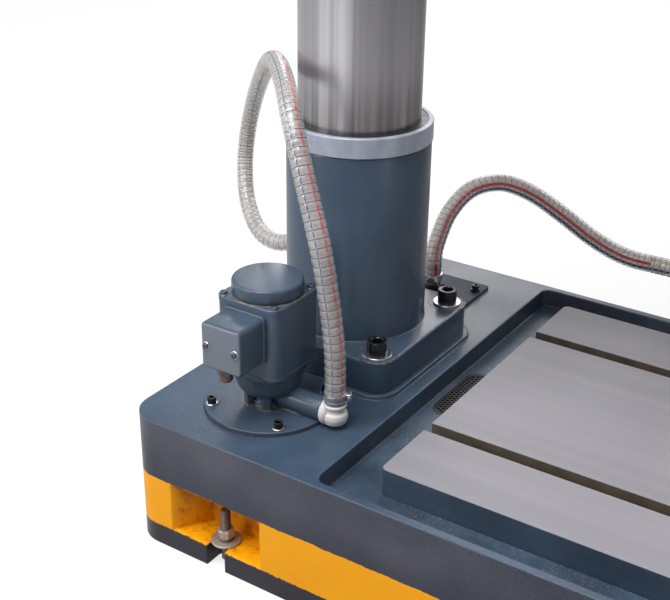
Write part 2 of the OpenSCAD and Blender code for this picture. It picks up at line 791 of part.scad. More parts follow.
module box_lid() {
    face = -gasket_t - box_depth;
    seam = face + lid_depth;
    color(paint) on_box_face() difference() {
        span([face, -box_w / 2, 0], [seam, box_w / 2, box_h]);
        span([face + 4, -box_w / 2 + 5, 5], [seam + 1, box_w / 2 - 5, box_h - 5]);
    }
}

module cable_gland() {
    color(black_oxide) on_box_face() translate([gland_x, 0, -12]) {
        hex(22, 12);
        translate([0, 0, 11]) cylinder(r = 7.9, h = 6);
        translate([0, 0, -5]) cylinder(r = 7, h = 6);
    }
}

module hose_elbow() {
    color("white") translate([pump_at[0], elbow_y, outlet_z]) difference() {
        union() {
            rod_y(0, -elbow_y - outlet_reach, elbow_r);
            sphere(r = elbow_r);
            cylinder(r = 14.5, h = hose1_z - outlet_z);
            translate([0, 0, hose1_z - outlet_z - 8]) cylinder(r = 17, h = 8);
            cylinder(d = spigot_d, h = hose1_z - outlet_z + 30);
        }
        rod_y(0, 40, 8.5);
        sphere(r = 8.5);
        cylinder(r = 8.5, h = 80);
    }
}

module pump_hose() {
    color(clear_hose) ribbed_hose(hose1_points, [0.556, -0.831, 0]);
}

// A worm drive clamp round a hose, with its screw housing toward angle a.
module clamp_ring(a) {
    ring(hose_d / 2 + 1, hose_d / 2 + 0.1, 12);
    rotate(a) span([hose_d / 2 + 0.6, -9, 0.5], [hose_d / 2 + 7, 9, 11.5]);
}

module hose_clamps() {
    color(zinc) {
        translate([pump_at[0], elbow_y, hose1_z + 4]) clamp_ring(20);
        translate([fitting_at[0], fitting_at[1], deck_z + plate_t + fitting_h + 6]) clamp_ring(200);
        translate([hose1_points[len(hose1_points) - 1][0], hose1_points[len(hose1_points) - 1][1],
            hose1_points[len(hose1_points) - 1][2] - 20]) clamp_ring(90);
    }
}

module rack() {
    low = foot_top + gap;
    high = upper_ring_z + ring_h - gap;
    tongue = ring_d / 2 - ring_wall - 1.7;
    teeth_low = foot_top + ring_h + 40;
    count = floor((upper_ring_z - 40 - teeth_low) / rack_pitch);
    phase = (pinion_z - teeth_low) - rack_pitch * floor((pinion_z - teeth_low) / rack_pitch);
    color(ground_steel) difference() {
        union() {
            span([column_d / 2 + 0.6, -rack_w / 2, low + ring_h + gap],
                [rack_tip, rack_w / 2, high - ring_h - gap]);
            span([column_d / 2 + 0.6, -rack_w / 2, low], [tongue, rack_w / 2, high]);
        }
        translate([0, 0, -1]) cylinder(r = column_d / 2 + 0.5, h = head_top);
        for (k = [0 : count - 1])
            translate([rack_tip, 0, teeth_low + phase + k * rack_pitch]) rotate([90, 0, 0])
                linear_extrude(rack_w + 2, center = true) polygon([
                    [1, -rack_pitch * 0.42], [1, rack_pitch * 0.42],
                    [-tooth_h, rack_pitch * 0.18], [-tooth_h, -rack_pitch * 0.18]
                ]);
    }
}

module arm_body() {
    translate([0, 0, collar_z]) cylinder(d = collar_d, h = collar_h);
    span([-arm_w / 2, -throat, collar_z + 90], [arm_w / 2, -60, collar_z + 180]);
    span([-14, -throat, collar_z + 30], [14, -60, collar_z + 100]);
    translate([0, -throat, collar_z + 50]) cylinder(d = hub_d, h = collar_h - 50);
    span([60, gearbox_y0, worm_z - 26], [gearbox_x, gearbox_y1, pinion_z + 50]);
    translate([0, worm_y, worm_z]) rod_x(-collar_d / 2 - 14, 0, 24);
    span([-15, -collar_d / 2 - 26, collar_z + 8], [15, -collar_d / 2 + 14, collar_z + 68]);
}

module table_arm() {
    color(paint) difference() {
        arm_body();
        translate([0, 0, collar_z - 60]) cylinder(r = column_d / 2 + run_fit, h = collar_h + 120);
        span([0, -rack_w / 2 - run_fit, collar_z - 60],
            [rack_tip + 1, rack_w / 2 + run_fit, collar_top + 60]);
        translate([0, -throat, collar_z + 62]) cylinder(r = stem_d / 2 + run_fit, h = collar_h);
        span([rack_tip, gearbox_y0 + 12, worm_z - 18], [gearbox_x + 1, gearbox_y1 - 12, pinion_z + 42]);
        translate([pinion_x, 0, pinion_z]) {
            rod_y(worm_y - 12, worm_y + 12, worm_wheel_r + 3);
            rod_y(gearbox_y0 - 1, gearbox_y1 + 1, 9 + run_fit);
        }
        translate([0, worm_y, worm_z]) {
            rod_x(-collar_d / 2 - 40, 110, 9 + run_fit);
            rod_x(pinion_x - 38, gearbox_x, worm_r + 3);
        }
        span([-2, -collar_d / 2 - 27, collar_z - 1], [2, -95, collar_z + 99]);
        translate([0, -collar_d / 2 - 12, collar_z + 38]) rod_x(-40, 40, 8 + run_fit);
        translate([0, -throat, drain_z]) rod_x(0, hub_d, 9 + run_fit);
        translate([0, -throat, collar_z + 110]) rotate(-60) rod_y(-hub_d, 0, 7 + run_fit);
    }
}

module arm_gear_cover() {
    color(paint) span([gearbox_x, gearbox_y0, worm_z - 26],
        [gearbox_x + 6, gearbox_y1, pinion_z + 50]);
}

module drain_nipple() {
    end = hose3_points[len(hose3_points) - 1];
    color(zinc) difference() {
        union() {
            translate([0, -throat, drain_z]) rod_x(hub_d / 2 - 14, end[0], 9);
            translate([end[0], -throat, end[2]]) cylinder(r = 16, h = drain_z - end[2]);
            translate([end[0], -throat, drain_z]) sphere(r = 16);
            translate([end[0], -throat, end[2] - 30]) cylinder(d = spigot_d, h = 40);
        }
        translate([0, -throat, drain_z]) rod_x(hub_d / 2 - 20, end[0], 6);
        translate([end[0], -throat, end[2] - 40]) cylinder(r = 8, h = drain_z - end[2] + 40);
    }
}

module lift_pinion() {
    color(ground_steel) translate([pinion_x, 0, pinion_z]) {
        rod_y(gearbox_y0 + 2, gearbox_y1 - 2, 9);
        translate([0, rack_w / 2 - 1, 0]) rotate([90, 180, 0])
            spur(lift_teeth, lift_module, rack_w - 2);
        difference() {
            rod_y(worm_y - 9, worm_y + 9, worm_wheel_r);
            for (k = [0 : worm_wheel_teeth - 1])
                rotate([0, 360 / worm_wheel_teeth * k, 0])
                    translate([worm_wheel_r - 4, worm_y - 10, -2.4]) cube([6, 20, 4.8]);
        }
    }
}

module lift_worm() {
    color(ground_steel) translate([0, worm_y, worm_z]) {
        rod_x(crank_x - 10, gearbox_x - 2, 9);
        difference() {
            rod_x(pinion_x - 34, pinion_x + 34, worm_r);
            for (k = [-2 : 2])
                translate([pinion_x + k * 12, 0, 0]) difference() {
                    rod_x(-2.4, 2.4, worm_r + 1);
                    rod_x(-3, 3, worm_r - 3);
                }
        }
    }
}

module crank_handle() {
    color(black_oxide) translate([0, worm_y, worm_z]) {
        difference() {
            union() {
                rod_x(crank_x - 12, crank_x + 12, 18);
                span([crank_x - 8, -11, 0], [crank_x + 4, 11, crank_len]);
                translate([0, 0, crank_len]) rod_x(crank_x - 10, crank_x + 6, 14);
            }
            rod_x(crank_x - 10, crank_x + 20, 9);
        }
        translate([0, 0, crank_len]) rod_x(crank_x - 66, crank_x - 9, 5);
        translate([0, 0, crank_len]) rod_x(crank_x - 70, crank_x - 65, 8);
    }
}

module crank_grip() {
    color(black_oxide) translate([0, worm_y, worm_z + crank_len]) difference() {
        union() {
            rod_x(crank_x - 64, crank_x - 11, 12);
            rod_x(crank_x - 52, crank_x - 24, 14);
        }
        rod_x(crank_x - 80, crank_x, 5 + run_fit);
    }
}

module column_clamp() {
    color(black_oxide) translate([0, -collar_d / 2 - 12, collar_z + 38]) {
        rod_x(-30, 36, 8);
        rod_x(15 + gap, 34, 12);
        rotate([160, 0, 0]) translate([24, 0, 0]) {
            cylinder(r = 6, h = 74);
            translate([0, 0, 84]) sphere(d = knob_d * 0.8);
        }
    }
}

module work_table() {
    color(ground_steel) difference() {
        union() {
            translate([table_at[0], table_at[1], table_z])
                round_plate(table_w, table_w, table_t, table_corner_r);
            translate([table_at[0], table_at[1], collar_z + 90])
                cylinder(d = stem_d, h = table_z - collar_z - 89);
        }
        for (x = [-1, 1]) translate([x * 80, table_at[1], 0]) {
            span([-9, -table_w / 2 + 40, table_top - 30], [9, table_w / 2 - 40, table_top + 1]);
            span([-15, -table_w / 2 + 40, table_top - 30], [15, table_w / 2 - 40, table_top - 16]);
        }
        translate([table_at[0], table_at[1], table_top - 10]) difference() {
            round_plate(table_w - 24, table_w - 24, 11, table_corner_r - 12);
            translate([0, 0, -1]) round_plate(table_w - 60, table_w - 60, 13, table_corner_r - 30);
        }
        translate([table_at[0], table_at[1], collar_z + 60]) cylinder(r = 20, h = table_top);
    }
}

module table_lock() {
    color(black_oxide) translate([0, -throat, collar_z + 110]) rotate(-60) {
        rod_y(-hub_d / 2 - 34, -stem_d / 2 - gap, 7);
        translate([0, -hub_d / 2 - 22, 0]) {
            rod_y(-12, 8, 13);
            rotate([0, 180, 0]) cylinder(r = 6, h = 70);
            translate([0, 0, -78]) sphere(d = knob_d * 0.8);
        }
    }
}

module return_hose_lower() {
    color(clear_hose) ribbed_hose(hose2_points, [0.83, 0.55, 0]);
}

module return_hose_upper() {
    color(clear_hose) ribbed_hose(hose3_points, [0.83, 0.55, 0]);
}

module head_casting() {
    length = head_rear - head_front;
    mid_y = (head_rear + head_front) / 2;
    inner_x = head_w / 2 - 16;
    color(paint) difference() {
        union() {
            translate([0, mid_y, head_z]) round_plate(head_w, length, head_h, 30);
            translate([0, -throat, quill_z + 30]) cylinder(d = quill_d + 40, h = 60);
            translate([0, 0, upper_ring_z + ring_h + ring_cap_t])
                cylinder(d = ring_d + 30, h = 30);
        }
        translate([0, 0, head_z - 100]) cylinder(r = column_d / 2 + run_fit, h = head_h + 110);
        translate([0, -throat, head_z - 100]) cylinder(r = quill_r + run_fit, h = head_h);
        span([-inner_x, head_front + 16, gear_z - 22], [inner_x, -114, head_top + 1]);
        span([-inner_x, head_front + 16, head_z + 60],
            [inner_x, -throat - quill_r - 12, head_top - 40]);
        span([-inner_x, feed_y + feed_r + 14, head_z + 40], [inner_x, -114, gear_z]);
        translate([0, feed_y, feed_z]) {
            rod_x(-30, 32, feed_r + 2);
            rod_x(0, head_w, feed_r - 4 + run_fit);
        }
        for (x = [-60, 0, 70])
            translate([x, 0, button_z]) rod_y(head_front - 1, head_front + 20, button_d / 2 + 0.5);
        translate([0, 0, head_z + 90]) rod_y(head_front - 1, head_front + 20, 8 + run_fit);
        translate([0, -throat + 60, panel_z + 60]) rod_x(-head_w / 2 - 1, -inner_x + 1, 8 + run_fit);
    }
}

module head_cover() {
    length = head_rear - head_front;
    mid_y = (head_rear + head_front) / 2;
    color(paint) difference() {
        union() {
            translate([0, mid_y, head_top]) round_plate(head_w, length, 16, 30);
            translate([0, -throat, head_top]) cylinder(r = stem_r + 10, h = stem_top + 20 - head_top);
        }
        translate([0, -throat, head_top - 1]) cylinder(r = stem_r + 4, h = stem_top + 9 - head_top);
        translate([0, motor_y, head_top - 1]) cylinder(r = 14, h = 30);
        translate([0, 0, head_top - 1]) cylinder(r = column_d / 2 - column_wall, h = 8);
    }
}

module head_motor() {
    color(paint) translate([0, motor_y, head_top + 16]) difference() {
        union() {
            cylinder(d = motor_d + 30, h = 16);
            cylinder(d = motor_d - 16, h = motor_h);
            translate([0, 0, motor_h - 12]) cylinder(d = motor_d - 6, h = 12);
            for (a = [0 : 15 : 345])
                rotate(a) translate([motor_d / 2 - 14, -2, 16 - eps]) cube([14, 4, motor_h - 30]);
            span([motor_d / 2 - 20, -45, 60], [motor_d / 2 + 42, 45, 150]);
        }
        translate([0, 0, 14]) cylinder(d = motor_d - 36, h = motor_h);
        translate([0, 0, -1]) cylinder(r = 12 + run_fit, h = 30);
    }
}

module motor_fan_cover() {
    color(black_oxide) translate([0, motor_y, head_top + 16 + motor_h]) difference() {
        cylinder(d = motor_d - 6, h = 44);
        translate([0, 0, -1]) cylinder(d = motor_d - 12, h = 42);
        for (a = [0 : 20 : 340])
            rotate(a) translate([24, -3, 30]) cube([46, 6, 20]);
    }
}

module motor_rotor() {
    z = head_top + 16;
    color(ground_steel) translate([0, motor_y, 0]) {
        translate([0, 0, gear_z - 10]) cylinder(r = 12, h = z + motor_h + 30 - gear_z);
        translate([0, 0, gear_z]) rotate(3.6) spur(motor_teeth, gear_module, gear_h);
        translate([0, 0, z + 30]) cylinder(d = motor_d - 70, h = motor_h - 70);
        translate([0, 0, z + motor_h + 4]) cylinder(r = 60, h = 3);
        for (a = [0 : 45 : 315])
            translate([0, 0, z + motor_h + 7 - eps]) rotate(a)
                translate([14, -1.5, 0]) cube([44, 3, 16]);
    }
}

module drive_sleeve() {
    color(ground_steel) translate([0, -throat, 0]) difference() {
        union() {
            translate([0, 0, gear_z]) rotate(3.6) spur(sleeve_teeth, gear_module, gear_h);
            translate([0, 0, gear_z - 36]) cylinder(r = quill_r, h = 18);
            translate([0, 0, gear_z - 20]) cylinder(r = 34, h = 66);
        }
        translate([0, 0, gear_z - 40]) cylinder(r = stem_r + run_fit, h = 120);
    }
}

module coolant_pipe() {
    end = hose1_points[len(hose1_points) - 1];
    color(zinc) difference() {
        union() {
            span([-head_w / 2 - 60, end[1] - 30, end[2] + 0], [-head_w / 2, end[1] + 30, end[2] + 60]);
            translate([end[0], end[1], end[2] - 30]) cylinder(d = spigot_d, h = 40);
            translate([end[0], 0, end[2] + 30]) rod_y(-throat - 60, end[1] - 20, 8);
            translate([end[0], -throat - 60, end[2] + 30 - 190]) cylinder(r = 8, h = 190);
            translate([end[0], -throat - 60, end[2] + 30]) sphere(r = 12);
            translate([end[0], -throat - 60, end[2] - 160]) sphere(r = 12);
            translate([end[0], -throat - 60, end[2] - 160]) rotate([0, 0, 18]) rod_x(0, 58, 7);
            translate([end[0], 0, end[2] + 30]) rod_y(-344, -316, 12);
            span([-head_w / 2 - 38, -200, end[2] + 22], [-head_w / 2, -180, end[2] + 38]);
        }
        translate([end[0], end[1], end[2] - 40]) cylinder(r = 8, h = 60);
        translate([end[0], -330, end[2] + 22]) cylinder(r = 5 + run_fit, h = 40);
    }
}

module coolant_tap() {
    end = hose1_points[len(hose1_points) - 1];
    color("crimson") translate([end[0], -330, end[2] + 30]) {
        translate([0, 0, -7]) cylinder(r = 5, h = 20);
        translate([0, 0, 12 + gap]) cylinder(r = 9, h = 6);
        span([-6, 0, 13], [6, 50, 17]);
    }
}

module quill() {
    color(ground_steel) translate([0, -throat, quill_z]) difference() {
        union() {
            cylinder(r = quill_r, h = quill_len);
            cylinder(r = quill_r + 8, h = 18);
            span([40, -9, 0], [guard_hinge + 9, 9, 18]);
        }
        translate([0, 0, -1]) cylinder(r = spindle_r + 6, h = quill_len + 2);
        translate([guard_hinge, 0, -1]) cylinder(r = 5 + run_fit, h = 20);
        for (k = [6 : 27])
            translate([0, 0, (k + 3) * feed_pitch])
                span([-12, quill_r - 4, -feed_slot_h / 2], [12, quill_r + 1, feed_slot_h / 2]);
    }
}

module spindle() {
    color(ground_steel) translate([0, -throat, 0]) {
        translate([0, 0, nose_z]) cylinder(r = spindle_r, h = quill_z + quill_len - 4 - nose_z);
        for (z = [4, quill_len - 26])
            translate([0, 0, quill_z + z]) cylinder(r = spindle_r + 6 - run_fit, h = 20);
        translate([0, 0, quill_z + quill_len - 6])
            cylinder(r = stem_r, h = stem_top - quill_z - quill_len + 6);
    }
}

module drill_chuck() {
    color(ground_steel) translate([0, -throat, chuck_z]) {
        difference() {
            union() {
                translate([0, 0, chuck_h - 26]) cylinder(d = chuck_d - 6, h = 26);
                translate([0, 0, 24]) cylinder(d = chuck_d, h = chuck_h - 50 + eps);
                cylinder(d1 = chuck_d - 26, d2 = chuck_d - 2, h = 24 + eps);
            }
            translate([0, 0, -1]) cylinder(r = 7, h = 50);
        }
        for (a = [0, 120, 240])
            rotate(a) translate([3, -4, -12]) cube([5, 8, 50]);
    }
}

module chuck_guard() {
    r = chuck_d / 2 + 34;
    color([0.8, 0.85, 0.9, 0.5]) translate([0, -throat, 0]) {
        intersection() {
            translate([0, 0, chuck_z - 4]) ring(r, r - 3, nose_z + 24 - chuck_z);
            span([-r - 1, -r - 1, 0], [r + 1, -8, head_z]);
        }
        translate([guard_hinge, 0, chuck_z + 10]) cylinder(r = 5, h = quill_z + 16 - chuck_z - 10);
        span([r - 4, -14, chuck_z + 14], [guard_hinge + 3, -3, nose_z + 16]);
    }
}

module feed_hub() {
    color(ground_steel) translate([0, feed_y, feed_z]) {
        rod_x(-26, 34, feed_r - 6);
        rod_x(33, head_w / 2 + gap, feed_r - 4);
        for (k = [0 : feed_teeth - 1])
            rotate([90 + 360 / feed_teeth * k, 0, 0])
                span([-11, -1, feed_r - 8], [11, 1, feed_r - 1]);
        difference() {
            union() {
                rod_x(head_w / 2 + gap, head_w / 2 + 60, 44);
                rod_x(head_w / 2 + 59, head_w / 2 + 92, spoke_hub_r);
            }
            at_spokes() translate([0, 0, spoke_root]) cylinder(r = spoke_r + run_fit, h = spoke_hub_r);
        }
    }
}

module at_spokes() {
    translate([head_w / 2 + 72, 0, 0])
        for (a = [0, 120, 240]) rotate([a, 0, 0]) rotate([0, 18, 0]) children();
}

module feed_handles() {
    color(black_oxide) translate([0, feed_y, feed_z]) at_spokes() {
        translate([0, 0, spoke_root]) cylinder(r = spoke_r, h = spoke_len - spoke_root);
        translate([0, 0, spoke_len + 8]) sphere(d = knob_d);
    }
}

module control_panel() {
    color(black_oxide) difference() {
        span([-head_w / 2 + panel_side, head_front - panel_t, panel_z],
            [head_w / 2 - panel_side, head_front, panel_z + panel_h]);
        for (x = [-60, 0, 70]) translate([x, 0, button_z])
            rod_y(head_front - panel_t - 1, head_front + 1, button_d / 2 + 0.5);
    }
}

module gear_lever() {
    color(black_oxide) translate([0, head_front, head_z + 90]) {
        rod_y(-1, 15, 8);
        rod_y(-26, -gap, 26);
        rod_y(-30, -25, 18);
        translate([0, -15, 0]) {
            cylinder(r = 7, h = lever_len);
            translate([0, 0, lever_len]) sphere(d = knob_d * 0.8);
        }
    }
}

module push_button() {
    rod_y(-panel_t - 10, button_travel + 8, button_d / 2);
}

module start_button() {
    color("green") translate([-60, head_front, button_z]) push_button();
}

module stop_button() {
    color("red") translate([0, head_front, button_z]) push_button();
}

module emergency_stop() {
    color("red") translate([70, head_front, button_z]) {
        rod_y(-panel_t - 12, button_travel + 8, button_d / 2);
        rod_y(-panel_t - 28, -panel_t - 11, estop_d / 2);
    }
}

module main_switch() {
    color("red") translate([-head_w / 2, -throat + 60, panel_z + 60]) {
        rod_x(-1, 14, 8);
        rod_x(-14, -gap, 28);
        span([-30, -6, -24], [-13, 6, 24]);
    }
}

base_casting();
base_table();
strainer_grille();
tank_cover_plate();
cover_screws();
return_fitting();
anchor_bolts();
anchor_washers();
column_foot();
foot_bolts();
foot_washers();
column_tube();
rack_rings();
pump_base();
pump_bowl();
pump_body();
pump_cap();
pump_screws();
suction_tube();
pump_rotor();
terminal_box();
box_gasket();
box_lid();
cable_gland();
hose_elbow();
pump_hose();
hose_clamps();
rack();
table_arm();
arm_gear_cover();
drain_nipple();
lift_pinion();
lift_worm();
crank_handle();
crank_grip();
column_clamp();
work_table();
table_lock();
return_hose_lower();
return_hose_upper();
head_casting();
head_cover();
head_motor();
motor_fan_cover();
motor_rotor();
drive_sleeve();
coolant_pipe();
coolant_tap();
quill();
spindle();
drill_chuck();
chuck_guard();
feed_hub();
feed_handles();
control_panel();
gear_lever();
start_button();
stop_button();
emergency_stop();
main_switch();
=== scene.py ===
"""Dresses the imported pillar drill: rounded castings, bolts, ribbed hoses, studio and camera."""

import json
import math

import bpy
import numpy as np
from mathutils import Matrix, Vector

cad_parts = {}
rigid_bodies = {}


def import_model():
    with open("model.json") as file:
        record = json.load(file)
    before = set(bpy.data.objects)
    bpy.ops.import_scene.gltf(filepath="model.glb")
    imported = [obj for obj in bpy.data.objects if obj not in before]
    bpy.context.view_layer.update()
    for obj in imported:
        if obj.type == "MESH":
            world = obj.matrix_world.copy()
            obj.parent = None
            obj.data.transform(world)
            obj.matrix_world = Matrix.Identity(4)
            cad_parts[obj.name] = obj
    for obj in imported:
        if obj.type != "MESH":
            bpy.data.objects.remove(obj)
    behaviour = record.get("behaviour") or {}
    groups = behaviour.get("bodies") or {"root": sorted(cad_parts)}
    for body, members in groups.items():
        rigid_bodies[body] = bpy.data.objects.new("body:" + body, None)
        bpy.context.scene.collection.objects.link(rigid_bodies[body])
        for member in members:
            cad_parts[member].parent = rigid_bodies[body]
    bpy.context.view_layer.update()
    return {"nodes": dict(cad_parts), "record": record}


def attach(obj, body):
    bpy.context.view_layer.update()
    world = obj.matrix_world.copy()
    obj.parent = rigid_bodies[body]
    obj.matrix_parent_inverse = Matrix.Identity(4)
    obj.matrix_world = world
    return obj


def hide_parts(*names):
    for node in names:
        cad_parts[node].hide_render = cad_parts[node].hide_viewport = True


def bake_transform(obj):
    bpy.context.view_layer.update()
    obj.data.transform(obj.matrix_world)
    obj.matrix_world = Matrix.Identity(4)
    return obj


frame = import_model()
nodes = frame["nodes"]
scene_objects = bpy.context.scene.collection.objects
MM = 0.001
UPRIGHT = Matrix.Identity(4)
TO_LEFT = Matrix.Rotation(math.radians(-90), 4, "Y")
TO_RIGHT = Matrix.Rotation(math.radians(90), 4, "Y")
TO_FRONT = Matrix.Rotation(math.radians(90), 4, "X")

# Camera, fitted to the photograph's edges and ellipses
camera_data = bpy.data.cameras.new("camera")
camera_data.sensor_width = 36
camera_data.lens = 64.84
camera_data.clip_end = 60
camera = bpy.data.objects.new("camera", camera_data)
scene_objects.link(camera)
RIGHT = Vector((0.555929, -0.831158, 0.010933))
DOWN = Vector((-0.359653, -0.252374, -0.898308))
AHEAD = Vector((0.749395, 0.495463, -0.439231))
EYE = Vector((-1.42939, -0.90627, 1.1079))
turn = Matrix((RIGHT, -DOWN, -AHEAD)).transposed().to_4x4()
turn.translation = EYE
camera.matrix_world = turn
bpy.context.scene.camera = camera


class Nodes:
    """Builds a node tree, node by node."""

    COLOUR_A, COLOUR_B, COLOUR_OUT = 6, 7, 2

    def __init__(self, tree):
        self.tree = tree

    def node(self, kind, values=None, **settings):
        """A new shader node with its settings, and values for its inputs by name or number."""
        made = self.tree.nodes.new("ShaderNode" + kind)
        for key, value in settings.items():
            setattr(made, key, value)
        for key, value in (values or {}).items():
            self.put(made.inputs[key], value)
        return made

    def put(self, socket, value):
        if isinstance(value, bpy.types.NodeSocket):
            self.tree.links.new(value, socket)
        elif isinstance(value, (tuple, list)) and len(value) == 3 and socket.type == "RGBA":
            socket.default_value = (*value, 1)
        else:
            socket.default_value = value

    def math(self, operation, a, b=0.0):
        return self.node("Math", {0: a, 1: b}, operation=operation).outputs[0]

    def times(self, value, *factors):
        for factor in factors:
            value = self.math("MULTIPLY", value, factor)
        return value

    def plus(self, a, b):
        return self.math("ADD", a, b)

    def minus(self, a, b):
        return self.math("SUBTRACT", a, b)

    def most(self, a, b):
        return self.math("MAXIMUM", a, b)

    def least(self, a, b):
        return self.math("MINIMUM", a, b)

    def size_of(self, value):
        return self.math("ABSOLUTE", value)

    def mix(self, amount, a, b):
        """The colour between a and b. A tuple for the amount holds the terms of a span."""
        if isinstance(amount, tuple):
            amount = self.span(*amount)
        values = {"Factor": amount, self.COLOUR_A: a, self.COLOUR_B: b}
        return self.node("Mix", values, data_type="RGBA").outputs[self.COLOUR_OUT]

    def span(self, value, low, high, to_low=0.0, to_high=1.0):
        """A smooth step from to_low, where the value is low, to to_high, where it is high."""
        values = {"Value": value, "From Min": low, "From Max": high, "To Min": to_low, "To Max": to_high}
        return self.node("MapRange", values, interpolation_type="SMOOTHSTEP").outputs["Result"]

    def above(self, value, edge, soft):
        return self.span(value, edge - soft, edge + soft)

    def below(self, value, edge, soft):
        return self.span(value, edge + soft, edge - soft)


class Look(Nodes):
    """A procedural material in the piece's own coordinates, in metres."""

    def __init__(self, name):
        self.material = bpy.data.materials.new(name)
        self.material.use_nodes = True
        super().__init__(self.material.node_tree)
        self.shader = self.tree.nodes["Principled BSDF"]
        self.place = self.node("TexCoord").outputs["Object"]

    def noise(self, scale, detail=3.0, stretch=(1, 1, 1), rough=0.55, seed=0.0):
        shift = {"Vector": self.place, "Scale": stretch, "Location": (seed, seed * 0.7, seed * 1.3)}
        place = self.node("Mapping", shift).outputs[0]
        values = {"Vector": place, "Scale": scale, "Detail": detail, "Roughness": rough}
        return self.node("TexNoise", values).outputs["Fac"]

    def axes(self):
        return self.node("SeparateXYZ", {0: self.place}).outputs

    def length(self, vector):
        return self.node("VectorMath", {0: vector}, operation="LENGTH").outputs["Value"]

    def off_axis(self, axis_x=0.0):
        """How far a point lies from the upright line that crosses the X axis at axis_x."""
        x, y, _ = self.axes()
        flat = self.node("CombineXYZ", {0: self.minus(x, axis_x), 1: y})
        return self.length(flat.outputs[0])

    def edges(self, radius):
        """(rounded normal, how far the surface turns away from it near an edge)"""
        soft = self.node("Bevel", {"Radius": radius}, samples=6).outputs[0]
        flat = self.node("NewGeometry").outputs["Normal"]
        both = self.node("VectorMath", {0: soft, 1: flat}, operation="DOT_PRODUCT")
        return soft, self.span(both.outputs["Value"], 0.99, 0.86)

    def bump(self, height, distance, strength, normal=None):
        made = self.node("Bump", {"Height": height, "Distance": distance, "Strength": strength})
        if normal is not None:
            self.put(made.inputs["Normal"], normal)
        return made.outputs[0]

    def finish(self, colour, rough, normal=None, **plain):
        """The material with its colour, roughness and normal, and plain numbers by socket name."""
        values = {"Base Color": colour, "Roughness": rough}
        if normal is not None:
            values["Normal"] = normal
        values.update({key.replace("_", " "): value for key, value in plain.items()})
        for key, value in values.items():
            self.put(self.shader.inputs[key], value)
        return self.material


def srgb(r, g, b):
    """A colour as it is seen on a screen, 0 to 255, made linear."""
    return tuple(
        c / 255 / 12.92 if c <= 10 else ((c / 255 + 0.055) / 1.055) ** 2.4 for c in (r, g, b)
    )


def shade(colour, k):
    return tuple(c * k for c in colour)


SLATE = srgb(58, 74, 92)
PUMP_SLATE = srgb(62, 77, 94)
ENAMEL = {"Specular_IOR_Level": 0.42, "Coat_Weight": 0.14, "Coat_Roughness": 0.14}

# Edges of the base's paints, in metres
STRIP_TOP = 0.0329
BAND_TOP = 0.1143
POCKET_FLOOR = 0.0343
POCKET_X = 0.358
POCKETS_FROM_Y, POCKETS_TO_Y = -0.71, 0.11
FACE_X = 0.36365
DECK_EDGE = 0.2070
TROUGH_FLOOR, TROUGH_TOP = 0.176, 0.2065
TROUGH_X, TROUGH_Y = 0.353, -0.1646
SLOT_X, SLOT_HALF = 0.168, 0.01895
BLOCK_TOP = 0.2172

# Where grime, rust and grease lie on the pump, foot, ring and column, and where light and shade are painted
# on them, in metres
PUMP_X = -0.227
CAP_SEAM_R, CAP_SEAM_LOW, CAP_SEAM_HIGH = 0.053, 0.38585, 0.38815
NECK_R, NECK_Z = 0.039, 0.21675
BOX_FACE_X = -0.3331
BARREL_SEAM_R, BARREL_SEAM_Z = 0.10875, 0.2655
FOOT_EDGE_Z = 0.21575
RING_BORE_R = 0.1009
COLUMN_FRONT_Y = -0.0385
COLUMN_STAIN_LOW, COLUMN_STAIN_HIGH = 0.585, 0.68
HANDLED_X, HANDLED_Y = 1.36, -11.03


def paint_base(look, colour, edge_radius=0.003):
    """Brushed enamel over cast iron: mottled colour, orange peel, paler worn edges."""
    broad = look.noise(7, 4)
    spots = look.noise(70, 5, rough=0.7, seed=3)
    shadowed = look.mix((broad, 0.35, 0.68), shade(colour, 0.86), shade(colour, 1.12))
    dusted = look.mix((spots, 0.56, 0.78, 0, 0.28), shadowed, shade(colour, 1.75))
    rounded, near_edge = look.edges(edge_radius)
    peel = look.noise(330, 3, seed=5)
    cast = look.noise(60, 4, seed=7)
    height = look.plus(look.times(peel, 0.35), look.times(cast, 0.65))
    normal = look.bump(height, 0.0011, 0.6, rounded)
    worn = look.times(near_edge, look.span(look.noise(38, 4, seed=9), 0.3, 0.62, 0.25, 0.8))
    return look.mix(worn, dusted, shade(colour, 2.2)), normal, broad


def machine_paint():
    look = Look("machine_paint")
    tint, normal, broad = paint_base(look, SLATE)
    return look.finish(tint, look.span(broad, 0.3, 0.7, 0.3, 0.44), normal, **ENAMEL)


def painted_side_light(look, z):
    """Painted light on the base's left side: a greyer tint for the light that falls there, cloudy and finely
    speckled, with painted shade darker toward the band.
    """
    side_tone = look.mix(look.noise(9, 4, seed=21), srgb(50, 50, 59), srgb(68, 67, 76))
    cloudy = look.span(look.noise(3.2, 3, seed=23), 0.4, 0.6)
    side_tone = look.mix(cloudy, srgb(44, 45, 56), side_tone)
    side_tone = look.mix((look.noise(3.6, 2, seed=29), 0.48, 0.66, 0, 0.6), side_tone, srgb(92, 90, 98))
    speckled = look.span(look.noise(420, 2, seed=33), 0.36, 0.66)
    side_tone = look.mix(look.times(speckled, 0.1), side_tone, srgb(128, 128, 136))
    # Painted shade: the left side darkens toward the band at its foot.
    return look.mix((z, 0.168, 0.116, 0, 0.6), side_tone, srgb(44, 45, 57))


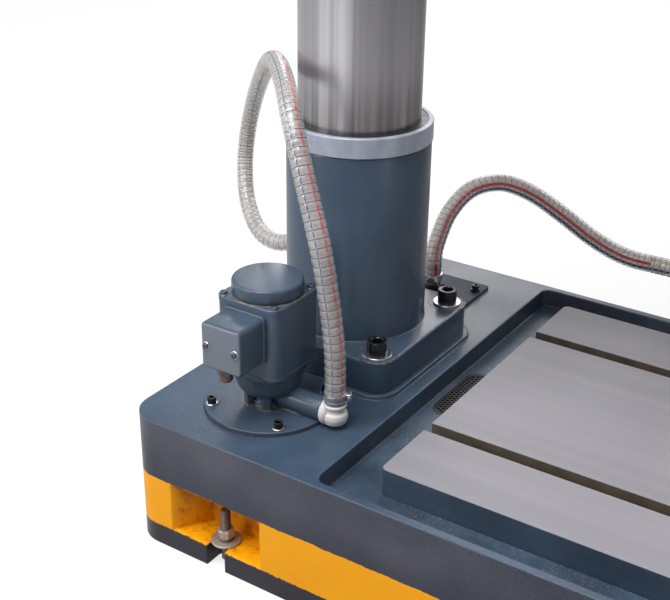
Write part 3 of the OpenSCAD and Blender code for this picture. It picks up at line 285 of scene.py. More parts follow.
def band_yellow(look, facing_up):
    """The hand-painted yellow, with painted shade on the pockets' walls, stains and pits in the anchor
    pockets, and chips at their rim.
    """
    x, y, z = look.axes()
    beside = look.size_of(x)
    inside = look.times(
        look.below(beside, POCKET_X, 0.006),
        look.above(y, POCKETS_FROM_Y, 0.01),
        look.below(y, POCKETS_TO_Y, 0.01),
    )
    brushed = look.mix(look.noise(11, 3, seed=6), srgb(226, 147, 0), srgb(240, 167, 0))
    # Painted shade: the pockets' side walls are darker than their floors.
    painted_wall_shade = look.times(inside, look.below(facing_up, 0.5, 0.2))
    yellow = look.mix(look.times(painted_wall_shade, 0.3), brushed, srgb(196, 118, 0))
    stain = look.span(look.noise(30, 6, rough=0.7, seed=8), 0.46, 0.62, 0.0, 0.7)
    yellow = look.mix(look.times(inside, stain), yellow, srgb(176, 98, 4))
    pitted = look.span(look.noise(170, 5, rough=0.75, seed=19), 0.56, 0.66, 0.0, 0.6)
    yellow = look.mix(look.times(inside, pitted), yellow, srgb(108, 62, 18))
    chips = look.span(look.noise(240, 4, rough=0.8, seed=14), 0.5, 0.58)
    chipped = look.times(look.above(beside, FACE_X, 0.00115), chips, look.below(z, POCKET_FLOOR, 0.0002))
    return look.mix(chipped, yellow, srgb(60, 48, 42))


def oily_trough(look):
    """(oily paint with swarf, where the coolant's trough is)"""
    x, y, z = look.axes()
    trough = look.times(
        look.below(z, TROUGH_TOP, 0.0007),
        look.above(z, TROUGH_FLOOR, 0.0005),
        look.below(look.size_of(x), TROUGH_X, 0.0005),
        look.below(y, TROUGH_Y, 0.0006),
    )
    oily = look.mix((look.noise(14, 4, seed=11), 0.3, 0.7), shade(SLATE, 0.6), shade(SLATE, 1.15))
    swarf = look.span(look.noise(260, 5, rough=0.8, seed=15), 0.56, 0.62, 0, 0.8)
    swarf = look.times(swarf, look.span(look.noise(9, 4, seed=16), 0.42, 0.58))
    return look.mix(swarf, oily, srgb(126, 112, 98)), trough


def base_paint():
    """The base casting: enamel with painted light on its left side and on the deck right of the column, a
    hand-painted yellow band over a dark floor strip, an oily trough.
    """
    look = Look("base_paint")
    tint, normal, broad = paint_base(look, SLATE, 0.005)
    x, _, z = look.axes()
    geometry = look.node("NewGeometry").outputs
    facing = look.node("SeparateXYZ", {0: geometry["True Normal"]}).outputs
    left_side = look.span(facing[0], -0.45, -0.95)
    # Painted light: the left side takes a greyer, cloudier colour for the light that falls on it.
    tint = look.mix(look.times(left_side, 0.8), tint, painted_side_light(look, z))
    # Painted light and sheen: the deck right of the column is lightened toward pale grey.
    far_deck_sheen = look.times(look.span(x, -0.02, 0.24), look.above(z, DECK_EDGE, 0.0008))
    tint = look.mix(look.times(far_deck_sheen, 0.55), tint, srgb(118, 120, 128))
    wander = look.times(look.minus(look.noise(16, 2, seed=2), 0.5), 0.005)
    ragged = look.times(look.minus(look.noise(150, 4, seed=4), 0.5), 0.0035)
    height = look.plus(z, look.plus(wander, ragged))
    above_strip = look.most(look.above(height, STRIP_TOP, 0.0007), look.above(facing[2], 0.7, 0.2))
    band = look.times(above_strip, look.below(height, BAND_TOP, 0.0007))
    strip = look.mix(look.noise(20, 3, seed=1), srgb(36, 34, 43), srgb(52, 50, 60))
    lower = look.mix(band, strip, band_yellow(look, facing[2]))
    tint = look.mix(look.most(band, look.below(height, STRIP_TOP, 0.0007)), tint, lower)
    oily, trough = oily_trough(look)
    tint = look.mix(trough, tint, oily)
    rough = look.mix(band, look.span(broad, 0.3, 0.7, 0.28, 0.4), (0.5, 0.5, 0.5))
    return look.finish(tint, rough, normal, Specular_IOR_Level=0.26)


def table_iron():
    """The T-slotted blocks: painted sides, a plain machined top, brown oily slots."""
    look = Look("table_iron")
    x, _, z = look.axes()
    tint, normal, broad = paint_base(look, shade(SLATE, 0.75), 0.0015)
    from_slot = look.size_of(look.minus(look.size_of(x), SLOT_X))
    oily = look.mix(look.noise(40, 4), srgb(52, 45, 38), srgb(96, 86, 74))
    tint = look.mix(look.below(from_slot, SLOT_HALF, 0.00025), tint, oily)
    top = look.above(z, BLOCK_TOP, 0.0004)
    cuts = look.noise(30, 3, stretch=(1, 0.03, 1), seed=12)
    iron = look.mix((cuts, 0.2, 0.8), srgb(122, 120, 126), srgb(132, 130, 136))
    iron = look.mix((look.noise(5, 5, seed=13), 0.55, 0.8, 0, 0.2), iron, srgb(124, 119, 114))
    specks = look.span(look.noise(420, 4, rough=0.8, seed=17), 0.68, 0.72, 0, 0.6)
    iron = look.mix(specks, iron, srgb(84, 77, 72))
    tint = look.mix(top, tint, iron)
    rough = look.mix(top, look.span(broad, 0.3, 0.7, 0.33, 0.45), (0.56, 0.56, 0.56))
    return look.finish(tint, rough, normal, Specular_IOR_Level=0.45)


def column_look():
    """Ground column: soft bands and fine scratches along it, painted shade on its front half, browner near
    the lower ring.
    """
    look = Look("column_steel")
    x, y, z = look.axes()
    bands = look.noise(8, 2, stretch=(1, 1, 0.01), seed=5)
    streaks = look.noise(60, 4, stretch=(1, 1, 0.012), seed=6)
    fine = look.noise(420, 3, stretch=(1, 1, 0.01), seed=7)
    tint = look.mix((bands, 0.36, 0.62), srgb(174, 172, 177), srgb(224, 223, 228))
    tint = look.mix((streaks, 0.42, 0.7, 0, 0.35), tint, srgb(132, 128, 132))
    tint = look.mix((fine, 0.5, 0.8, 0, 0.16), tint, srgb(226, 225, 228))
    # Painted shade: the column's front half is darker, for the duller reflection it shows there.
    front = look.times(look.below(y, COLUMN_FRONT_Y, 0.002), 0.56)
    tint = look.mix(front, tint, srgb(136, 132, 136))
    low = look.span(z, COLUMN_STAIN_HIGH, COLUMN_STAIN_LOW)
    stained = look.times(low, look.span(streaks, 0.3, 0.62, 0.35, 1), 0.6)
    tint = look.mix(stained, tint, srgb(84, 74, 68))
    # 1 where the surface faces the handled line, less to either side of it
    towards_line = look.plus(look.times(x, HANDLED_X), look.times(y, HANDLED_Y))
    handled = look.times(look.span(towards_line, 0.978, 0.996), look.span(fine, 0.2, 0.6, 0.3, 1), 0.28)
    tint = look.mix(handled, tint, srgb(116, 102, 92))
    normal = look.bump(fine, 0.0001, 0.3)
    around = look.node("Tangent", direction_type="RADIAL", axis="Z").outputs[0]
    look.put(look.shader.inputs["Tangent"], around)
    return look.finish(tint, look.span(streaks, 0.3, 0.7, 0.3, 0.4), normal, Metallic=0.9, Anisotropic=0.7)


def pump_look():
    """The pump's enamel, with a yellowish tide line where its castings meet, and painted light on the
    terminal box's outer face.
    """
    look = Look("pump_enamel")
    tint, normal, broad = paint_base(look, PUMP_SLATE, 0.0022)
    x, _, z = look.axes()
    from_axis = look.off_axis(PUMP_X)
    round_cap = look.times(
        look.below(from_axis, CAP_SEAM_R, 0.0015),
        look.below(z, CAP_SEAM_HIGH, 0.00135),
        look.above(z, CAP_SEAM_LOW, 0.00035),
    )
    round_neck = look.times(look.below(from_axis, NECK_R, 0.005), look.below(z, NECK_Z, 0.00275))
    patchy = look.span(look.noise(70, 5, seed=31), 0.34, 0.6)
    grime = look.times(look.most(round_cap, round_neck), patchy, 0.75)
    tint = look.mix(grime, tint, srgb(122, 110, 84))
    # Painted light: the terminal box's outer face is lightened toward a pale blue grey.
    tint = look.mix(look.times(look.below(x, BOX_FACE_X, 0.0006), 0.55), tint, srgb(124, 128, 138))
    return look.finish(tint, look.span(broad, 0.3, 0.7, 0.26, 0.38), normal, **ENAMEL)


def bare_metal(name, colour, rough, lines=(1, 1, 40), grain=90, edge_radius=0.0012, metallic=1.0):
    """Ground or turned metal: fine lines across the axis and slow changes in gloss."""
    look = Look(name)
    cuts = look.noise(grain, 4, stretch=lines)
    patches = look.noise(6, 4, seed=4)
    tint = look.mix((cuts, 0.25, 0.75), shade(colour, 0.84), shade(colour, 1.1))
    tint = look.mix((patches, 0.5, 0.8, 0, 0.3), tint, shade(colour, 0.72))
    rounded, near_edge = look.edges(edge_radius)
    tint = look.mix(look.times(near_edge, 0.5), tint, shade(colour, 1.25))
    normal = look.bump(cuts, 0.00012, 0.5, rounded)
    return look.finish(tint, look.span(patches, 0.3, 0.7, rough, rough + 0.12), normal, Metallic=metallic)


def plastic(name, colour, rough, peel=380, specular=0.5):
    """Moulded plastic or smooth paint, a little uneven in colour and gloss."""
    look = Look(name)
    tint = look.mix(look.noise(30, 4), shade(colour, 0.88), shade(colour, 1.1))
    rounded, near_edge = look.edges(0.0014)
    tint = look.mix(look.times(near_edge, 0.3), tint, shade(colour, 1.3))
    normal = look.bump(look.noise(peel, 2), 0.0002, 0.5, rounded)
    gloss = look.span(look.noise(9, 3, seed=2), 0.3, 0.7, rough, rough + 0.1)
    return look.finish(tint, gloss, normal, Specular_IOR_Level=specular)


def black_steel():
    """Black oxide: near black, a little brown where it is handled, sharp small highlights."""
    look = Look("black_oxide")
    worn = look.span(look.noise(75, 5, rough=0.7), 0.5, 0.8)
    rounded, near_edge = look.edges(0.0009)
    tint = look.mix(worn, (0.009, 0.010, 0.012), (0.020, 0.020, 0.022))
    tint = look.mix(look.times(near_edge, 0.35), tint, (0.07, 0.075, 0.08))
    normal = look.bump(look.noise(420, 3), 0.00015, 0.5, rounded)
    return look.finish(tint, look.span(worn, 0, 1, 0.24, 0.36), normal, Metallic=0.3)


def hose_plastic(name, pitch, red_at, blue_at, milky, cover, red, red_width, broken):
    """Cloudy clear hose: a steel wire each pitch with a painted highlight beside it, a red and a blue thread
    along it.
    """
    look = Look(name)
    along = look.node("Attribute", attribute_name="along").outputs["Fac"]
    around = look.node("Attribute", attribute_name="around").outputs["Fac"]
    step = look.math("FRACT", look.math("DIVIDE", along, pitch))
    from_wire = look.least(step, look.minus(1.0, step))
    wire = look.span(from_wire, 0.085, 0.05)
    cloud = look.mix((look.noise(34, 4), 0.3, 0.7), shade(milky, 0.8), shade(milky, 1.06))
    streak = look.span(look.noise(130, 3, seed=3), 0.52, 0.72, 0, 0.35)
    cloud = look.mix(streak, cloud, srgb(140, 140, 146))
    # Painted highlight: a pale line on each rib beside its wire.
    beside = look.times(look.span(step, 0.06, 0.1), look.span(step, 0.2, 0.14), 0.7)
    tint = look.mix(beside, cloud, srgb(238, 236, 232))
    tint = look.mix(look.times(wire, 0.92), tint, srgb(84, 78, 75))

    def thread(at, width):
        off = look.size_of(look.minus(around, at))
        return look.span(look.least(off, look.minus(1.0, off)), width, width * 0.7)

    blue_line = thread(blue_at, 0.03)
    tint = look.mix(look.times(blue_line, look.span(from_wire, 0.06, 0.14)), tint, srgb(50, 78, 134))
    faded = look.span(look.noise(160, 3, seed=9), 0.3, 0.56, 1 - broken, 1)
    red_line = look.times(thread(red_at, red_width), faded)
    tint = look.mix(red_line, tint, red)
    solid = look.most(wire, look.most(red_line, blue_line))
    look.put(look.shader.inputs["Alpha"], look.span(solid, 0, 1, cover, 0.95))
    look.put(look.shader.inputs["Subsurface Weight"], 0.15)
    look.put(look.shader.inputs["Subsurface Radius"], (0.006, 0.005, 0.004))
    normal = look.bump(look.noise(90, 3, seed=8), 0.0006, 0.4)
    return look.finish(tint, 0.16, normal, Specular_IOR_Level=0.75, Coat_Weight=0.4)


def foot_paint():
    """The foot's enamel, with rust where the barrel meets its plate and along the lower edge."""
    look = Look("foot_paint")
    tint, normal, broad = paint_base(look, SLATE)
    _, _, z = look.axes()
    near_barrel = look.below(look.off_axis(), BARREL_SEAM_R, 0.00075)
    seam = look.times(near_barrel, look.below(z, BARREL_SEAM_Z, 0.0007))
    foot_edge = look.below(z, FOOT_EDGE_Z, 0.00075)
    patchy = look.span(look.noise(90, 5, seed=41), 0.38, 0.58)
    tint = look.mix(look.times(look.most(seam, foot_edge), patchy, 0.8), tint, srgb(96, 76, 56))
    return look.finish(tint, look.span(broad, 0.3, 0.7, 0.26, 0.36), normal, **ENAMEL)


def ring_look():
    """Silver painted rack ring, dark inside its bore with grease and painted shade."""
    look = Look("ring_silver")
    streaks = look.noise(50, 4, stretch=(1, 1, 0.3))
    tint = look.mix((streaks, 0.3, 0.7), srgb(158, 164, 180), srgb(176, 182, 198))
    tint = look.mix((look.noise(150, 5, seed=3), 0.6, 0.75, 0, 0.4), tint, srgb(130, 130, 140))
    # Grease and painted shade: the bore darkens to near black.
    tint = look.mix(look.below(look.off_axis(), RING_BORE_R, 0.0003), tint, srgb(44, 42, 42))
    rounded, near_edge = look.edges(0.001)
    tint = look.mix(look.times(near_edge, 0.5), tint, srgb(214, 218, 228))
    normal = look.bump(streaks, 0.0003, 0.5, rounded)
    return look.finish(tint, look.span(streaks, 0.3, 0.7, 0.36, 0.46), normal, Metallic=0.15)


def clear_guard():
    """The chuck guard's clear plastic."""
    look = Look("guard_plastic")
    look.put(look.shader.inputs["Alpha"], 0.38)
    tint = look.mix(look.noise(12, 4), (0.62, 0.68, 0.7), (0.72, 0.78, 0.8))
    return look.finish(tint, look.span(look.noise(80, 4), 0.3, 0.7, 0.06, 0.16))


def spotface_rust():
    """Bare steel of the foot's spotfaces, brown in patches."""
    look = Look("spotface_steel")
    tint = look.mix((look.noise(120, 5), 0.42, 0.66), srgb(96, 84, 70), srgb(150, 142, 132))
    return look.finish(tint, 0.5, look.bump(look.noise(300, 3), 0.0002, 0.5), Metallic=0.7)


PUMP_HOSE_PITCH = 12.0
RETURN_HOSE_PITCH = 10.0
EVEN_GRAIN = (1, 1, 1)
looks = {
    "machine_paint": machine_paint(),
    "base_paint": base_paint(),
    "foot_paint": foot_paint(),
    "pump_paint": pump_look(),
    "table_iron": table_iron(),
    "column_steel": column_look(),
    "ring_silver": ring_look(),
    "spotface_steel": spotface_rust(),
    "black_oxide": black_steel(),
    "guard_plastic": clear_guard(),
}
# Colour, roughness, stretch and scale of the grain, edge radius, metal
metals = {
    "cast_table": (srgb(150, 149, 153), 0.5, (14, 0.6, 1), 26, 0.002, 0.6),
    "ground_steel": (srgb(196, 195, 194), 0.2, (0.35, 0.35, 26)),
    "zinc": (srgb(200, 200, 204), 0.26, (1, 1, 3), 160, 0.0006),
    "dark_steel": (srgb(58, 57, 58), 0.36, EVEN_GRAIN, 200, 0.0005, 0.7),
    "worn_steel": (srgb(178, 166, 158), 0.42, EVEN_GRAIN, 300, 0.0006, 0.7),
    "stud_steel": (srgb(112, 98, 92), 0.46, EVEN_GRAIN, 300, 0.0004, 0.6),
    "screw_steel": (srgb(96, 98, 106), 0.3, EVEN_GRAIN, 300, 0.0005, 0.8),
}
# Colour, roughness, scale of the orange peel, specular level
plastics = {
    "rubber": ((0.02, 0.02, 0.021), 0.6),
    "black_plastic": ((0.022, 0.022, 0.024), 0.45),
    "white_plastic": (srgb(208, 206, 203), 0.4),
    "green_plastic": (srgb(20, 130, 60), 0.3),
    "red_plastic": (srgb(200, 24, 26), 0.3),
    "yellow_plastic": (srgb(232, 176, 0), 0.35),
    "cover_paint": (srgb(66, 72, 84), 0.56, 200, 0.22),
}
# Pitch of the wire, places of the red and blue threads, cloud, cover, the red thread's own
hoses = {
    "clear_hose": (PUMP_HOSE_PITCH, 0.10, 0.96, srgb(200, 196, 194), 0.42, srgb(204, 70, 80), 0.017, 0.8),
    "return_hose_look": (RETURN_HOSE_PITCH, 0.03, 0.13, srgb(236, 226, 220), 0.5, srgb(190, 16, 28), 0.03, 0),
}
for kind, table in ((bare_metal, metals), (plastic, plastics), (hose_plastic, hoses)):
    looks.update({name: kind(name, *values) for name, values in table.items()})


def new_piece(name, points, faces, look):
    """A smooth piece from points in millimetres."""
    mesh = bpy.data.meshes.new(name)
    mesh.from_pydata([tuple(c * MM for c in p) for p in points], [], faces)
    mesh.polygons.foreach_set("use_smooth", [True] * len(mesh.polygons))
    mesh.materials.append(looks[look])
    piece = bpy.data.objects.new(name, mesh)
    scene_objects.link(piece)
    return piece


class Shape:
    """Points in millimetres and faces, joined from simple closed forms."""

    CREASE = math.radians(32)
    EDGE_STEPS = 5

    def __init__(self):
        self.points = []
        self.faces = []

    def add(self, points, faces):
        start = len(self.points)
        self.points += [tuple(p) for p in points]
        self.faces += [tuple(i + start for i in f) for f in faces]
        return self

    def loft(self, loops, closed=True):
        """A skin through loops that all have the same number of points."""
        n = len(loops[0])
        faces = [
            (i * n + k, i * n + (k + 1) % n, (i + 1) * n + (k + 1) % n, (i + 1) * n + k)
            for i in range(len(loops) - 1)
            for k in range(n)
        ]
        if closed:
            faces.append(tuple(reversed(range(n))))
            faces.append(tuple(range((len(loops) - 1) * n, len(loops) * n)))
        return self.add([p for loop in loops for p in loop], faces)

    def lathe(self, profile, centre=(0, 0, 0), sides=72, axis="z"):
        """Turns (radius, height) pairs round an axis through centre. The ends are closed flat."""
        loops = []
        for radius, height in profile:
            loop = []
            for u, v, _ in circle(radius, 0, sides):
                offset = {"z": (u, v, height), "x": (height, u, v), "y": (v, height, u)}[axis]
                loop.append(tuple(c + o for c, o in zip(centre, offset)))
            loops.append(loop)
        return self.loft(loops)

    def slab(self, size, corner, z0, z1, edge, centre=(0, 0), foot=0.0):
        """A plate with round corners and a rounded top edge; foot rounds its lower edge too."""
        quarter = [math.pi / 2 * k / self.EDGE_STEPS for k in range(self.EDGE_STEPS + 1)]
        rounds = [(foot, z0 + foot, -1, a) for a in reversed(quarter)] if foot else [(0.0, z0, 0, 0.0)]
        rounds += [(edge, z1 - edge, 1, a) for a in quarter]
        loops = []
        for radius, level, up, a in rounds:
            inset = radius * (1 - math.cos(a))
            loops.append(rounded_loop(size, corner, inset, level + up * radius * math.sin(a), centre))
        return self.loft(loops)

    def put(self, other, at=(0, 0, 0), side=UPRIGHT):
        """Adds another shape, turned to a side and set on a place."""
        matrix = Matrix.Translation(at) @ side
        return self.add([matrix @ Vector(p) for p in other.points], other.faces)

    def make(self, name, look, *stands_for, body="machine", slot=None):
        """The piece itself. The slot argument is not used."""
        piece = new_piece(name, self.points, self.faces, look)
        piece.data.set_sharp_from_angle(angle=self.CREASE)
        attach(piece, body)
        if stands_for:
            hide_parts(*stands_for)


CORNER_STEPS = 8
LEAST_CORNER = 0.3
SOFT_STEPS = 4
MOST_OF_SIDE = 0.48


def rounded_loop(size, corner, inset, z, centre=(0, 0)):
    """Points round a rectangle with round corners, one radius or four, pulled in by inset."""
    w, d = size[0] / 2 - inset, size[1] / 2 - inset
    radii = corner if isinstance(corner, tuple) else (corner,) * 4
    points = []
    for (sx, sy, start), radius in zip(((1, 1, 0), (-1, 1, 90), (-1, -1, 180), (1, -1, 270)), radii):
        r = max(radius - inset, LEAST_CORNER)
        x, y = centre[0] + sx * (w - r), centre[1] + sy * (d - r)
        for k in range(CORNER_STEPS + 1):
            a = math.radians(start + 90 * k / CORNER_STEPS)
            points.append((x + r * math.cos(a), y + r * math.sin(a), z))
    return points


def soften(profile, radius):
    """Rounds the inner corners of a profile of (radius, height) pairs."""
    out = [profile[0]]
    for before, here, after in zip(profile, profile[1:], profile[2:]):
        a, b, c = (np.array(p, float) for p in (before, here, after))
        to_a, to_c = np.linalg.norm(a - b), np.linalg.norm(c - b)
        r = min(radius, MOST_OF_SIDE * to_a, MOST_OF_SIDE * to_c)
        p, q = b + (a - b) / to_a * r, b + (c - b) / to_c * r
        for k in range(SOFT_STEPS + 1):
            t = k / SOFT_STEPS
            out.append(tuple((1 - t) ** 2 * p + 2 * t * (1 - t) * b + t * t * q))
    return out + [profile[-1]]


def circle(radius, z, sides=36):
    angles = [2 * math.pi * k / sides for k in range(sides)]
    return [(radius * math.cos(a), radius * math.sin(a), z) for a in angles]


def hexagon(across, z, sides=36):
    """A hexagon with as many points as a circle, so that the two can be lofted."""
    reach = [math.cos(2 * math.pi * k / sides % (math.pi / 3) - math.pi / 6) for k in range(sides)]
    return [(x / r, y / r, z) for (x, y, _), r in zip(circle(across / 2, z, sides), reach)]


def turned(degrees):
    return Matrix.Rotation(math.radians(degrees), 4, "Z")


def corners(half_x, half_y, centre=(0, 0)):
    return [(centre[0] + x, centre[1] + y) for x in (-half_x, half_x) for y in (-half_y, half_y)]


DIAGONAL = math.sqrt(0.5)
SHANK = 6.0
CROSS = [1.0, 0.45, 0.35, 0.3, 0.35, 0.45, 0.95, 0.45, 0.3] * 4


def socket_screw(shape, at, d, head_h, side=UPRIGHT):
    """A socket head cap screw whose head stands on the point at."""
    r, key = 0.75 * d, 0.8 * d
    rounds = [
        (d / 2, -SHANK), (d / 2, 0), (r * 0.96, 0), (r, 0.04 * d), (r, head_h - 0.07 * d),
        (r * 0.97, head_h - 0.02 * d), (r * 0.91, head_h), (key / 2 * 1.2, head_h),
    ]
    recess = [hexagon(key, head_h - 0.06 * d), hexagon(key, head_h * 0.45)]
    shape.put(Shape().loft([circle(*ring) for ring in rounds] + recess), at, side)


def pan_screw(shape, at, r, h, side=UPRIGHT):
    """A pan head with a cross recess, on the point at."""
    head = [circle(*ring) for ring in ((r, 0), (r, h * 0.4), (r * 0.92, h * 0.75), (r * 0.6, h))]
    mouth = circle(r * 0.5, 0)
    head += [[(p[0] * k, p[1] * k, z) for p, k in zip(mouth, CROSS)] for z in (h, h * 0.35)]
    shape.put(Shape().loft(head), at, side)


def washer(shape, at, r_out, r_in, t, edge=0.6):
    outside = [(r_out - edge, 0), (r_out, edge), (r_out, t - edge), (r_out - edge, t)]
    shape.lathe([(r_in, 0), *outside, (r_in, t)], at)


# Hoses: the routes of the source, in millimetres
PUMP_ROUTE = [
    (-227, -113.5, 246), (-227, -113.5, 288), (-227, -111, 334), (-226, -101, 400),
    (-222, -84, 470), (-208, -54, 536), (-193, -28, 586), (-171, 0, 625), (-126, 42, 648),
    (-58, 103, 650), (34, 184, 624), (124, 266, 574), (188, 330, 516), (220, 368, 462),
    (230, 386, 412), (222, 386, 362), (198, 366, 316), (172, 334, 287), (150, 298, 272),
    (138, 262, 268), (134, 226, 276), (136, 192, 298), (144, 164, 334), (152, 148, 384),
    (156, 148, 450), (160, 158, 560), (166, 174, 700), (168, 184, 850), (168, 186, 1000),
    (168, 186, 1150), (150, 196, 1270), (95, 210, 1370), (10, 216, 1450), (-80, 204, 1515),
    (-148, 168, 1580), (-176, 134, 1650), (-180, 122, 1700), (-180, 122, 1735),
]
RETURN_ROUTE = [
    (226, -12, 228), (226, -12, 262), (236, -8, 285), (256, -7, 312), (276, -9, 336),
    (300, -20, 362), (320, -38, 379), (341, -66, 386), (356, -92, 381), (370, -126, 366),
    (384, -170, 338), (396, -218, 306), (406, -262, 284), (410, -300, 276), (411, -330, 276),
]
RISING_ROUTE = [
    (411, -330, 276), (412, -360, 276), (408, -404, 290), (396, -442, 330), (380, -468, 386),
    (360, -482, 450), (334, -488, 525), (304, -482, 605), (274, -468, 685), (246, -450, 760),
    (222, -432, 826), (210, -422, 872), (208, -420, 898), (208, -420, 925),
]
HOSE_R = 15.0
BORE_R = 12.5
HOSE_SIDES = 20
RINGS_PER_PITCH = 8
RINGS_PER_BORE_RING = 6
RIB_DEPTH = 0.75
RIB_HALF_WIDTH = 2.2
END_STEPS, BEND_STEPS = 12, 24
# Which way from the hose's middle its threads are counted, at its start
THREADS_FROM = (-0.80, -0.60, 0.0)


def curve_through(route):
    """The source's curve: straight ends and smooth stretches between, as many close points."""
    p = [np.array(q, float) for q in route]
    out = [p[0] + (p[1] - p[0]) * t for t in np.linspace(0, 1, END_STEPS, endpoint=False)]
    for a, b, c, d in zip(p, p[1:], p[2:], p[3:]):
        for u in np.linspace(0, 1, BEND_STEPS, endpoint=False):
            bend = (2 * a - 5 * b + 4 * c - d) * u**2 + (3 * b - a - 3 * c + d) * u**3
            out.append(0.5 * (2 * b + (c - a) * u + bend))
    out += [p[-2] + (p[-1] - p[-2]) * t for t in np.linspace(0, 1, END_STEPS)]
    return np.array(out)


def even(line, step):
    """(the same line with points step apart, how far along it each lies, its length)"""
    run = np.concatenate([[0], np.cumsum(np.linalg.norm(np.diff(line, axis=0), axis=1))])
    at = np.linspace(0, run[-1], max(2, round(run[-1] / step)) + 1)
    return np.stack([np.interp(at, run, line[:, k]) for k in range(3)], 1), at, run[-1]


def ribbed_hose(name, route, look, node, pitch, ride=None):
    """A ribbed tube with its bore, that rides on one body or stands fixed where it is."""
    sides = HOSE_SIDES
    line, at, length = even(curve_through(route), pitch / RINGS_PER_PITCH)
    ahead = np.gradient(line, axis=0)
    ahead /= np.linalg.norm(ahead, axis=1)[:, None]
    normal = np.array(THREADS_FROM)
    points, along, around = [], [], []
    for place, direction, s in zip(line, ahead, at):
        normal = normal - direction * (normal @ direction)
        normal /= np.linalg.norm(normal)
        side = np.cross(direction, normal)
        from_rib = abs((s / pitch + 0.5) % 1 - 0.5) * pitch
        radius = HOSE_R - RIB_DEPTH * math.exp(-((from_rib / RIB_HALF_WIDTH) ** 2))
        for k, (u, v, _) in enumerate(circle(radius, 0, sides)):
            points.append(place + normal * u + side * v)
            along.append(s)
            around.append(k / sides)
    bore = len(points)
    bore_rings = [*range(0, len(line), RINGS_PER_BORE_RING), len(line) - 1]
    for i in bore_rings:
        for k in range(sides):
            points.append(line[i] + (points[i * sides + k] - line[i]) * BORE_R / HOSE_R)
            along.append(at[i] + pitch / 2)
            around.append(0.5)
    end, bore_end = bore - sides, len(points) - sides
    pairs = [(k, (k + 1) % sides) for k in range(sides)]
    faces = [(a + k, a + m, a + sides + m, a + sides + k) for a in range(0, end, sides) for k, m in pairs]
    for a in range(bore, bore_end, sides):
        faces += [(a + m, a + k, a + sides + k, a + sides + m) for k, m in pairs]
    for k, m in pairs:
        faces += [(k, bore + k, bore + m, m), (end + m, bore_end + m, bore_end + k, end + k)]
    hose = new_piece(name, points, faces, look)
    for label, values in (("along", along), ("around", around)):
        attribute = hose.data.attributes.new(label, "FLOAT", "POINT")
        attribute.data.foreach_set("value", np.array(values, np.float32))
    if ride:
        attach(hose, ride)
    else:
        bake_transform(hose)
    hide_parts(node)


ribbed_hose("pump_hose_ribbed", PUMP_ROUTE, "clear_hose", "pump_hose", PUMP_HOSE_PITCH, ride="machine")
ribbed_hose(
    "return_hose_near",
    RETURN_ROUTE,
    "return_hose_look",
    "return_hose_lower",
    RETURN_HOSE_PITCH,
)
ribbed_hose(
    "return_hose_far",
    RISING_ROUTE[::-1],
    "return_hose_look",
    "return_hose_upper",
    RETURN_HOSE_PITCH,
)

# Column foot: rounded plate, barrel with a small fillet, spotfaces
SPOTFACE_Z = 263.2
foot = Shape().slab((268, 268), 30, 214, 264, 4, foot=1.5)
foot.lathe([(90.2, 262), (107.4, 262), (107.0, 266), (107, 547), (106, 548.8), (90.2, 549)], sides=96)
foot.make("foot_casting", "foot_paint", "column_foot")
bolts, washers, spotfaces = Shape(), Shape(), Shape()
for x, y in corners(105, 105):
    spotfaces.lathe([(10.5, 0), (27.4, 0), (28.5, 0.9), (29.6, 1.0), (29.8, 0.4)], (x, y, SPOTFACE_Z))
    washer(washers, (x, y, SPOTFACE_Z + 0.1), 22, 10.6, 4)
    socket_screw(bolts, (x, y, SPOTFACE_Z + 4.1), 20, 20.5)
spotfaces.make("foot_spotfaces", "spotface_steel", slot="ground_steel")
bolts.make("foot_screws", "black_oxide", "foot_bolts")
washers.make("foot_washer_set", "zinc", "foot_washers")

# The two rings that hold the rack
LOWER_RING_Z, UPPER_RING_Z = 549.6, 1580
rings = Shape()
lower = [(100.5, 0), (107.5, 0), (108.5, 1), (108.5, 28), (107.6, 29.2), (101.4, 29.4), (100.5, 28.4)]
rings.lathe(lower, (0, 0, LOWER_RING_Z), 96)
capped = [(90.4, 42), (90.4, 30), (100.5, 28), (100.5, 0), (107.5, 0), (108.5, 1), (108.5, 41), (107.6, 42)]
rings.lathe(capped, (0, 0, UPPER_RING_Z), 96)
rings.make("rack_ring_pair", "ring_silver", "rack_rings")

# Pump: flange with its outlet arm, bowl, motor body and cap
PUMP = (-227, 0)
PUMP_AT = (*PUMP, 0)
FLANGE_TOP = 214.6
PUMP_TOP = 387
OUTLET_Y, OUTLET_Z = -113.5, 229
flange = Shape().lathe(soften([(0, 208.1), (94, 208.1), (94, 214), (40, 214.6), (0, 214.6)], 1.2), PUMP_AT)
flange.lathe(soften([(0, 213), (27, 213), (27, 220), (24, 221), (24, 236), (0, 236)], 1.2), PUMP_AT)
for angle in (30, 150, 210):
    flange.put(Shape().slab((12, 13), 2, 213, 240, 1, centre=(31, 0)), PUMP_AT, turned(angle))
outlet = [(0, -96), (11, -96), (17, -96), (17, -44), (19, -26), (17, -8), (0, -6)]
flange.lathe(soften(outlet, 2), (PUMP[0], 0, OUTLET_Z), 48, "y")
flange.slab((26, 40), 7, 212, 222, 4, centre=(PUMP[0], -44))
flange.make("pump_flange", "pump_paint", "pump_base")
seal = Shape().lathe([(0, 207.9), (95, 207.9), (95, 209.4), (0, 209.4)], PUMP_AT)
seal.make("flange_gasket", "rubber")

cup = [(0, 231), (31, 231), (39, 235), (45.5, 244), (49, 256), (50, 268), (50, 277), (0, 277)]
bowl = Shape().lathe(soften(cup, 4), PUMP_AT)
bowl.slab((102, 102), 42, 266, 276.5, 0.4, centre=PUMP, foot=5.0)
bowl.make("pump_bowl_cast", "pump_paint", "pump_bowl")

